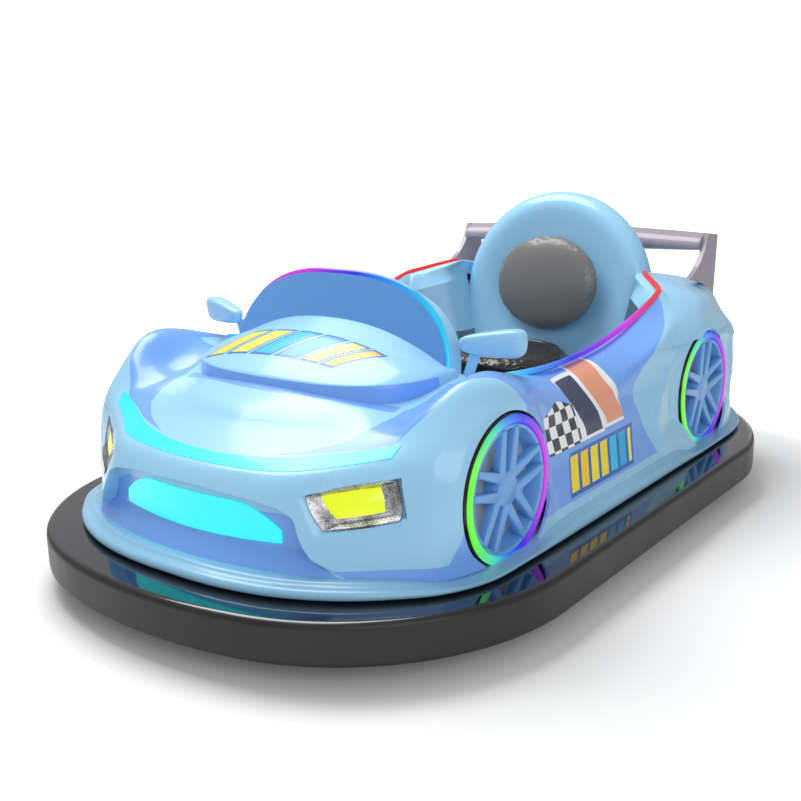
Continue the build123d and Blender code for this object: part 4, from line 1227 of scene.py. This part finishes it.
def make_side_wheels():
    """Four ornamental wheels: tyre, lit ring, rim with spokes, and the dark well behind them."""
    tyre_black = rubber("side_tyre", rgb(17, 17, 18), (0.12, 0.3))
    rim_blue = plain_paint("rim_paint", rgb(110, 172, 236), rgb(98, 158, 226), (0.22, 0.35))
    backing = rubber("rim_backing", rgb(150, 165, 172), (0.6, 0.8))
    gap = rubber("wheel_well", rgb(14, 14, 15), (0.6, 0.8))
    nodes = {"tyre": "side_wheel_tyres", "rim": "side_wheel_rims", "ring": "side_wheel_lights"}
    tyre_profile = [(0.139, -0.020), (0.1435, -0.006), (0.145, -0.004), (0.1475, -0.008), (0.148, -0.02),
                    (0.148, -0.05), (0.139, -0.05)]
    ring_profile = [(0.1265, -0.006), (0.128, -0.0015), (0.1355, 0.0), (0.142, -0.001), (0.1445, -0.004),
                    (0.1445, -0.012), (0.1265, -0.012)]
    barrel_profile = [(0.1265, -0.005), (0.125, -0.003), (0.119, -0.004), (0.1165, -0.009), (0.114, -0.032),
                      (0.112, -0.037), (0.112, -0.041), (0.130, -0.041)]
    backing_profile = [(0.0, -0.037), (0.118, -0.037), (0.118, -0.041), (0.0, -0.041)]
    well_profile = [(0.140, -0.0501), (0.1500, -0.0501), (0.1500, -0.012), (0.1515, -0.012),
                    (0.1515, -0.053), (0.140, -0.053)]
    for end, x, z in wheel_places():
        glow = wheel_glow(f"{end}_wheel_glow", x)
        pieces = [
            (spun(f"{end}_tyre", tyre_profile), tyre_black, "tyre_black", nodes["tyre"]),
            (spun(f"{end}_glow_ring", ring_profile), glow, "light_strip", nodes["ring"]),
            (spun(f"{end}_rim_barrel", barrel_profile), rim_blue, "rim_blue", nodes["rim"]),
            (make_spokes(f"{end}_spokes"), rim_blue, "rim_blue", nodes["rim"]),
            (spun(f"{end}_backing", backing_profile), backing, "rim_blue", nodes["rim"]),
            (spun(f"{end}_well", well_profile), gap, "tyre_black", nodes["tyre"]),
        ]
        for piece, material, slot, node in pieces:
            piece.location = (x, WHEEL_FACE, z)
            piece.name = f"left_{piece.name}"
            finished_pair(settle(piece), material, slot, [node])


# Pairs of spokes on a wheel, and how far each spoke stands beside its pair's middle
SPOKE_PAIRS = 5
SPOKE_ASIDE = 0.0172


def make_spokes(name):
    """Five pairs of spokes that flare from the hub, with the hub cap."""
    bpy.ops.mesh.primitive_cube_add(size=1, location=(0.072, -0.0165, 0))
    spoke = fresh(name)
    spoke.scale = (0.096, 0.015, 0.0178)
    apply_place()
    with Edit(spoke) as edit:
        edit.pick(lambda face: face.normal.x > 0.9)
        bpy.ops.transform.resize(value=(1, 1, 0.8))
        bpy.ops.transform.translate(value=(0, 0.008, 0))
        edit.pick(lambda face: face.normal.x < -0.9)
        bpy.ops.transform.resize(value=(1, 1, 1.25))
        edit.pick(lambda face: face.normal.y > 0.5)
        bpy.ops.mesh.inset(thickness=0.0022)
        bpy.ops.transform.translate(value=(0, 0.0022, 0))
    with Edit(spoke) as edit:
        edit.everything()
        bpy.ops.transform.translate(value=(0, 0, SPOKE_ASIDE))
        bpy.ops.transform.rotate(value=math.radians(3), orient_axis="Y",
                                 center_override=(0.02, 0, SPOKE_ASIDE))
    modify(spoke, "BEVEL", width=0.0012, segments=2, limit_method="ANGLE")
    twin = mirrored_copy(spoke, "spoke_twin", axis=2)
    pairs = [spoke, twin]
    for k in range(1, SPOKE_PAIRS):
        for arm in (spoke, twin):
            turned = own_copy(arm, "spoke_turned")
            turned.data.transform(Matrix.Rotation(2 * math.pi * k / SPOKE_PAIRS, 4, "Y"))
            pairs.append(turned)
    for arm in pairs:
        arm.data.transform(Matrix.Rotation(math.radians(-90), 4, "Y"))
    cap_profile = [(0.0, -0.0065), (0.031, -0.0065), (0.0345, -0.008), (0.0355, -0.012), (0.038, -0.018),
                   (0.039, -0.036), (0.0, -0.036)]
    pairs.append(spun("hub_cap", cap_profile, steps=48))
    bpy.ops.object.select_all(action="DESELECT")
    for arm in pairs:
        arm.select_set(True)
    bpy.context.view_layer.objects.active = spoke
    bpy.ops.object.join()
    return spoke


# ------------------------------------------------------------------ pieces: seat

BACK_TILT = math.radians(8)


def make_backrest(paint):
    """Round seat back: a fat rolled rim round a shallow dish."""
    low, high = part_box("backrest_shell")
    radius = (high.y - low.y) / 2
    profile = [(0.0, 0.012), (0.15, 0.014), (0.19, 0.020), (0.225, 0.029), (0.252, 0.033), (0.274, 0.026),
               (0.288, 0.010), (radius, -0.008), (radius, -0.026), (0.275, -0.040), (0.24, -0.044),
               (0.0, -0.044)]
    shell = spun("seat_back", profile, steps=96)
    for vertex in shell.data.vertices:
        if vertex.co.z < 0:
            vertex.co.x /= math.sqrt(max(0.15, 1 - (vertex.co.z / radius) ** 2))
    modify(shell, "SUBSURF", levels=1, render_levels=1)
    centre = Vector((-0.56, 0, high.z - radius * math.cos(BACK_TILT) + 0.0005))
    facing = Matrix.Rotation(-BACK_TILT, 4, "Y") @ Matrix.Rotation(-math.pi / 2, 4, "Z")
    shell.data.transform(Matrix.Translation(centre) @ facing)
    with Edit(shell) as edit:
        edit.everything()
        bpy.ops.mesh.bisect(plane_co=(0, 0, low.z + 0.001), plane_no=(0, 0, 1), use_fill=True,
                            clear_inner=True)
    return finished(settle(shell), paint, "body_gloss", replaces=["backrest_shell"])


def inflated(obj, pressure, cap):
    """Swells a closed form as stuffed cloth."""
    modify(obj, "REMESH", mode="VOXEL", voxel_size=0.005)
    activate(obj)
    rest = [vertex.co.copy() for vertex in obj.data.vertices]
    cloth = obj.modifiers.new("Cloth", "CLOTH")
    cloth.settings.effector_weights.gravity = 0
    cloth.settings.use_pressure = True
    cloth.settings.uniform_pressure_force = pressure
    cloth.point_cache.frame_end = 20
    for step in range(1, 21):
        bpy.context.scene.frame_set(step)
    bpy.ops.object.modifier_apply(modifier=cloth.name)
    bpy.context.scene.frame_set(1)
    for vertex, start in zip(obj.data.vertices, rest):
        move = vertex.co - start
        if move.length > cap:
            vertex.co = start + move.normalized() * cap
    return obj


def make_pads():
    """Stuffed back pad and seat cushion, with a sewn groove round the cushion's top."""
    grey = vinyl("pad_vinyl", rgb(122, 121, 120), rgb(108, 108, 108), (0.26, 0.42))
    black = vinyl("seat_vinyl", rgb(28, 26, 26), rgb(46, 43, 42), (0.08, 0.22), grain=140)
    low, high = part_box("backrest_pad")
    wide, tall = (high.y - low.y) / 2 + 0.007, (high.z - low.z) / 2
    bpy.ops.mesh.primitive_uv_sphere_add(segments=48, ring_count=24, radius=1)
    pad = fresh("back_pad")
    for vertex in pad.data.vertices:
        x, y, z = vertex.co
        vertex.co = (x * (0.040 if x > 0 else 0.010), y * wide, z * tall)
    inflated(pad, 3.0, 0.006)
    modify(pad, "SUBSURF", levels=1, render_levels=1)
    centre = (low + high) / 2
    pad.data.transform(Matrix.Translation((low.x + 0.032, 0, centre.z)) @ Matrix.Rotation(-BACK_TILT, 4, "Y"))
    finished(settle(pad), grey, "pad_grey", replaces=["backrest_pad"])

    low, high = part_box("seat_cushion")
    radius, thick = (high.x - low.x) / 2, high.z - low.z
    bpy.ops.mesh.primitive_cylinder_add(vertices=96, radius=radius - 0.006, depth=thick - 0.012)
    cushion = fresh("seat_cushion_pad")
    with Edit(cushion) as edit:
        edit.pick(lambda face: abs(face.normal.z) > 0.9)
        bpy.ops.mesh.inset(thickness=0.02)
        edit.pick(lambda face: face.normal.z > 0.9 and len(face.verts) > 8)
        bpy.ops.transform.translate(value=(0, 0, 0.002))
    modify(cushion, "BEVEL", width=0.01, segments=3, limit_method="ANGLE")
    inflated(cushion, 3.0, 0.007)
    modify(cushion, "SUBSURF", levels=1, render_levels=1)
    for vertex in cushion.data.vertices:
        groove = math.hypot(vertex.co.x, vertex.co.y) / radius
        if vertex.co.z > 0:
            vertex.co.z -= 0.006 * math.exp(-((groove - 0.72) / 0.022) ** 2)
        vertex.co.z = max(vertex.co.z, -thick / 2 + 0.001)
    cushion.data.transform(Matrix.Translation((low + high) / 2))
    finished(settle(cushion), black, "seat_black", replaces=["seat_cushion"])


# ------------------------------------------------------------------ CAD pieces that stay


def dress_cad():
    """Finishes for the nodes whose own shape is right."""
    steel = powder_coat("frame_coat", rgb(52, 52, 55))
    bright = metal("axle_steel", rgb(190, 190, 192))
    dark = powder_coat("column_black", rgb(40, 40, 42))
    tyre = rubber("road_rubber", rgb(42, 42, 43))
    finishes = {
        "rubber_bumper": black_rubber(), "chassis_hoop": steel, "chassis_rails": steel,
        "chassis_crossmembers": steel, "floor_plate": powder_coat("floor_coat", rgb(96, 104, 110)),
        "dash_panel": powder_coat("dash", rgb(70, 88, 104)),
        "footwell_bulkhead": powder_coat("bulkhead", rgb(80, 96, 110)),
        # Painted shade: the seat base is light blue moulding, given a dark grey-blue for the shade it sits
        # in.
        "seat_base": powder_coat("seat_moulding_shaded", rgb(104, 134, 156)),
        "wing_fins": plain_paint("fin_mauve", MAUVE, MAUVE_DEEP, SATIN),
        "column_jacket": dark, "drive_bridge": steel,
        "steering_gearbox": steel, "rear_wheel_brackets": steel, "rear_axles": bright,
        "battery_block": powder_coat("battery_case", rgb(58, 62, 84)), "foot_pedal": dark,
        "steering_wheel": rubber("grip", rgb(36, 36, 37)), "steering_shaft": bright, "drive_fork": steel,
        "drive_axle": bright, "drive_tyre": tyre, "left_rear_tyre": tyre, "right_rear_tyre": tyre,
        "drive_hub_motor": metal("hub_alloy", rgb(170, 170, 174), (0.35, 0.5)),
    }
    finishes["left_rear_hub"] = finishes["right_rear_hub"] = finishes["drive_hub_motor"]
    for node, material in finishes.items():
        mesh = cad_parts[node].data
        mesh.materials.clear()
        mesh.materials.append(material)


# ------------------------------------------------------------------ stage, light and camera


def make_stage():
    """White floor that fades into a white surround."""
    bpy.ops.mesh.primitive_plane_add(size=30)
    floor = fresh("floor")
    finish = Finish("floor_white", Roughness=0.9)
    finish.shader.inputs["Specular IOR Level"].default_value = 0.0
    finish.shader.inputs["Base Color"].default_value = (0.9, 0.9, 0.9, 1)
    seen = finish.node("ShaderNodeLightPath", {}, output="Is Camera Ray")
    point = finish.node("ShaderNodeTexCoord", {}, output="Object")
    reach = finish.node("ShaderNodeVectorMath", {"operation": "LENGTH"}, [point], output="Value")
    far = finish.node("ShaderNodeMapRange", {"interpolation_type": "SMOOTHSTEP"},
                      {"Value": reach, "From Min": 1.12, "From Max": 1.5, "To Min": 0.04, "To Max": 1.0})
    finish.feed("Emission Color", finish.mix(seen, (0, 0, 0, 1), finish.mix(far, (0, 0, 0, 1), (1, 1, 1, 1))))
    finish.shader.inputs["Emission Strength"].default_value = 1.0
    floor.data.materials.append(finish.material)
    world = bpy.data.worlds.new("studio")
    bpy.context.scene.world = world
    world.use_nodes = True
    sky = world.node_tree.nodes["Background"]
    path = world.node_tree.nodes.new("ShaderNodeLightPath")
    level = world.node_tree.nodes.new("ShaderNodeMapRange")
    level.inputs["To Min"].default_value = 0.46
    level.inputs["To Max"].default_value = 1.0
    world.node_tree.links.new(path.outputs["Is Camera Ray"], level.inputs["Value"])
    world.node_tree.links.new(level.outputs[0], sky.inputs["Strength"])
    sky.inputs["Color"].default_value = (1, 1, 1, 1)


def lamp(name, place, target, size, power):
    """Rectangular area lamp aimed at the target."""
    light = bpy.data.lights.new(name, "AREA")
    light.shape, light.size, light.size_y, light.energy = "RECTANGLE", size[0], size[1], power
    obj = bpy.data.objects.new(name, light)
    bpy.context.scene.collection.objects.link(obj)
    obj.location = place
    obj.rotation_euler = (Vector(target) - Vector(place)).to_track_quat("-Z", "Y").to_euler()


def make_camera():
    """Three-quarter view from ahead on the driver's left."""
    yaw, pitch, roll = math.radians(37.36), math.radians(14.37), math.radians(-1.31)
    back = Vector((math.cos(yaw) * math.cos(pitch), math.sin(yaw) * math.cos(pitch), math.sin(pitch)))
    level = Vector((-math.sin(yaw), math.cos(yaw), 0))
    upright = back.cross(level)
    right = math.cos(roll) * level + math.sin(roll) * upright
    up = math.cos(roll) * upright - math.sin(roll) * level
    camera = bpy.data.cameras.new("camera")
    obj = bpy.data.objects.new("camera", camera)
    bpy.context.scene.collection.objects.link(obj)
    axes = Matrix((right, up, back)).transposed().to_4x4()
    obj.matrix_world = Matrix.Translation((2.160, 1.515, 0.951)) @ axes
    camera.sensor_width, camera.lens = 36, 48.86
    bpy.context.scene.camera = obj


make_camera()
make_stage()
lamp("key", (0.1, -1.2, 3.3), (0.1, 0, 0.3), (2.4, 2.4), 112)
lamp("side", (2.4, 3.0, 1.9), (0.0, 0, 0.3), (2.6, 1.8), 32)
body_blue = body_paint()
sky_blue = plain_paint("sky_paint", SKY, SKY_DEEP)
dress_cad()
skin = make_body(body_blue)
make_nose_lights(skin)
make_bonnet(bonnet_paint())
make_windscreen()
make_mirrors(sky_blue)
make_wing()
make_liner()
make_rim_lights(skin)
make_tail_lamps(skin)
# Painted shade: the lip is the body's light blue, made darker for the shade on its flange.
make_lip(plain_paint("lip_paint_shaded", rgb(142, 194, 226), rgb(130, 182, 216)))
make_side_wheels()
make_backrest(sky_blue)
make_pads()
bpy.data.objects.remove(skin)
bpy.context.scene.view_settings.view_transform = "Standard"
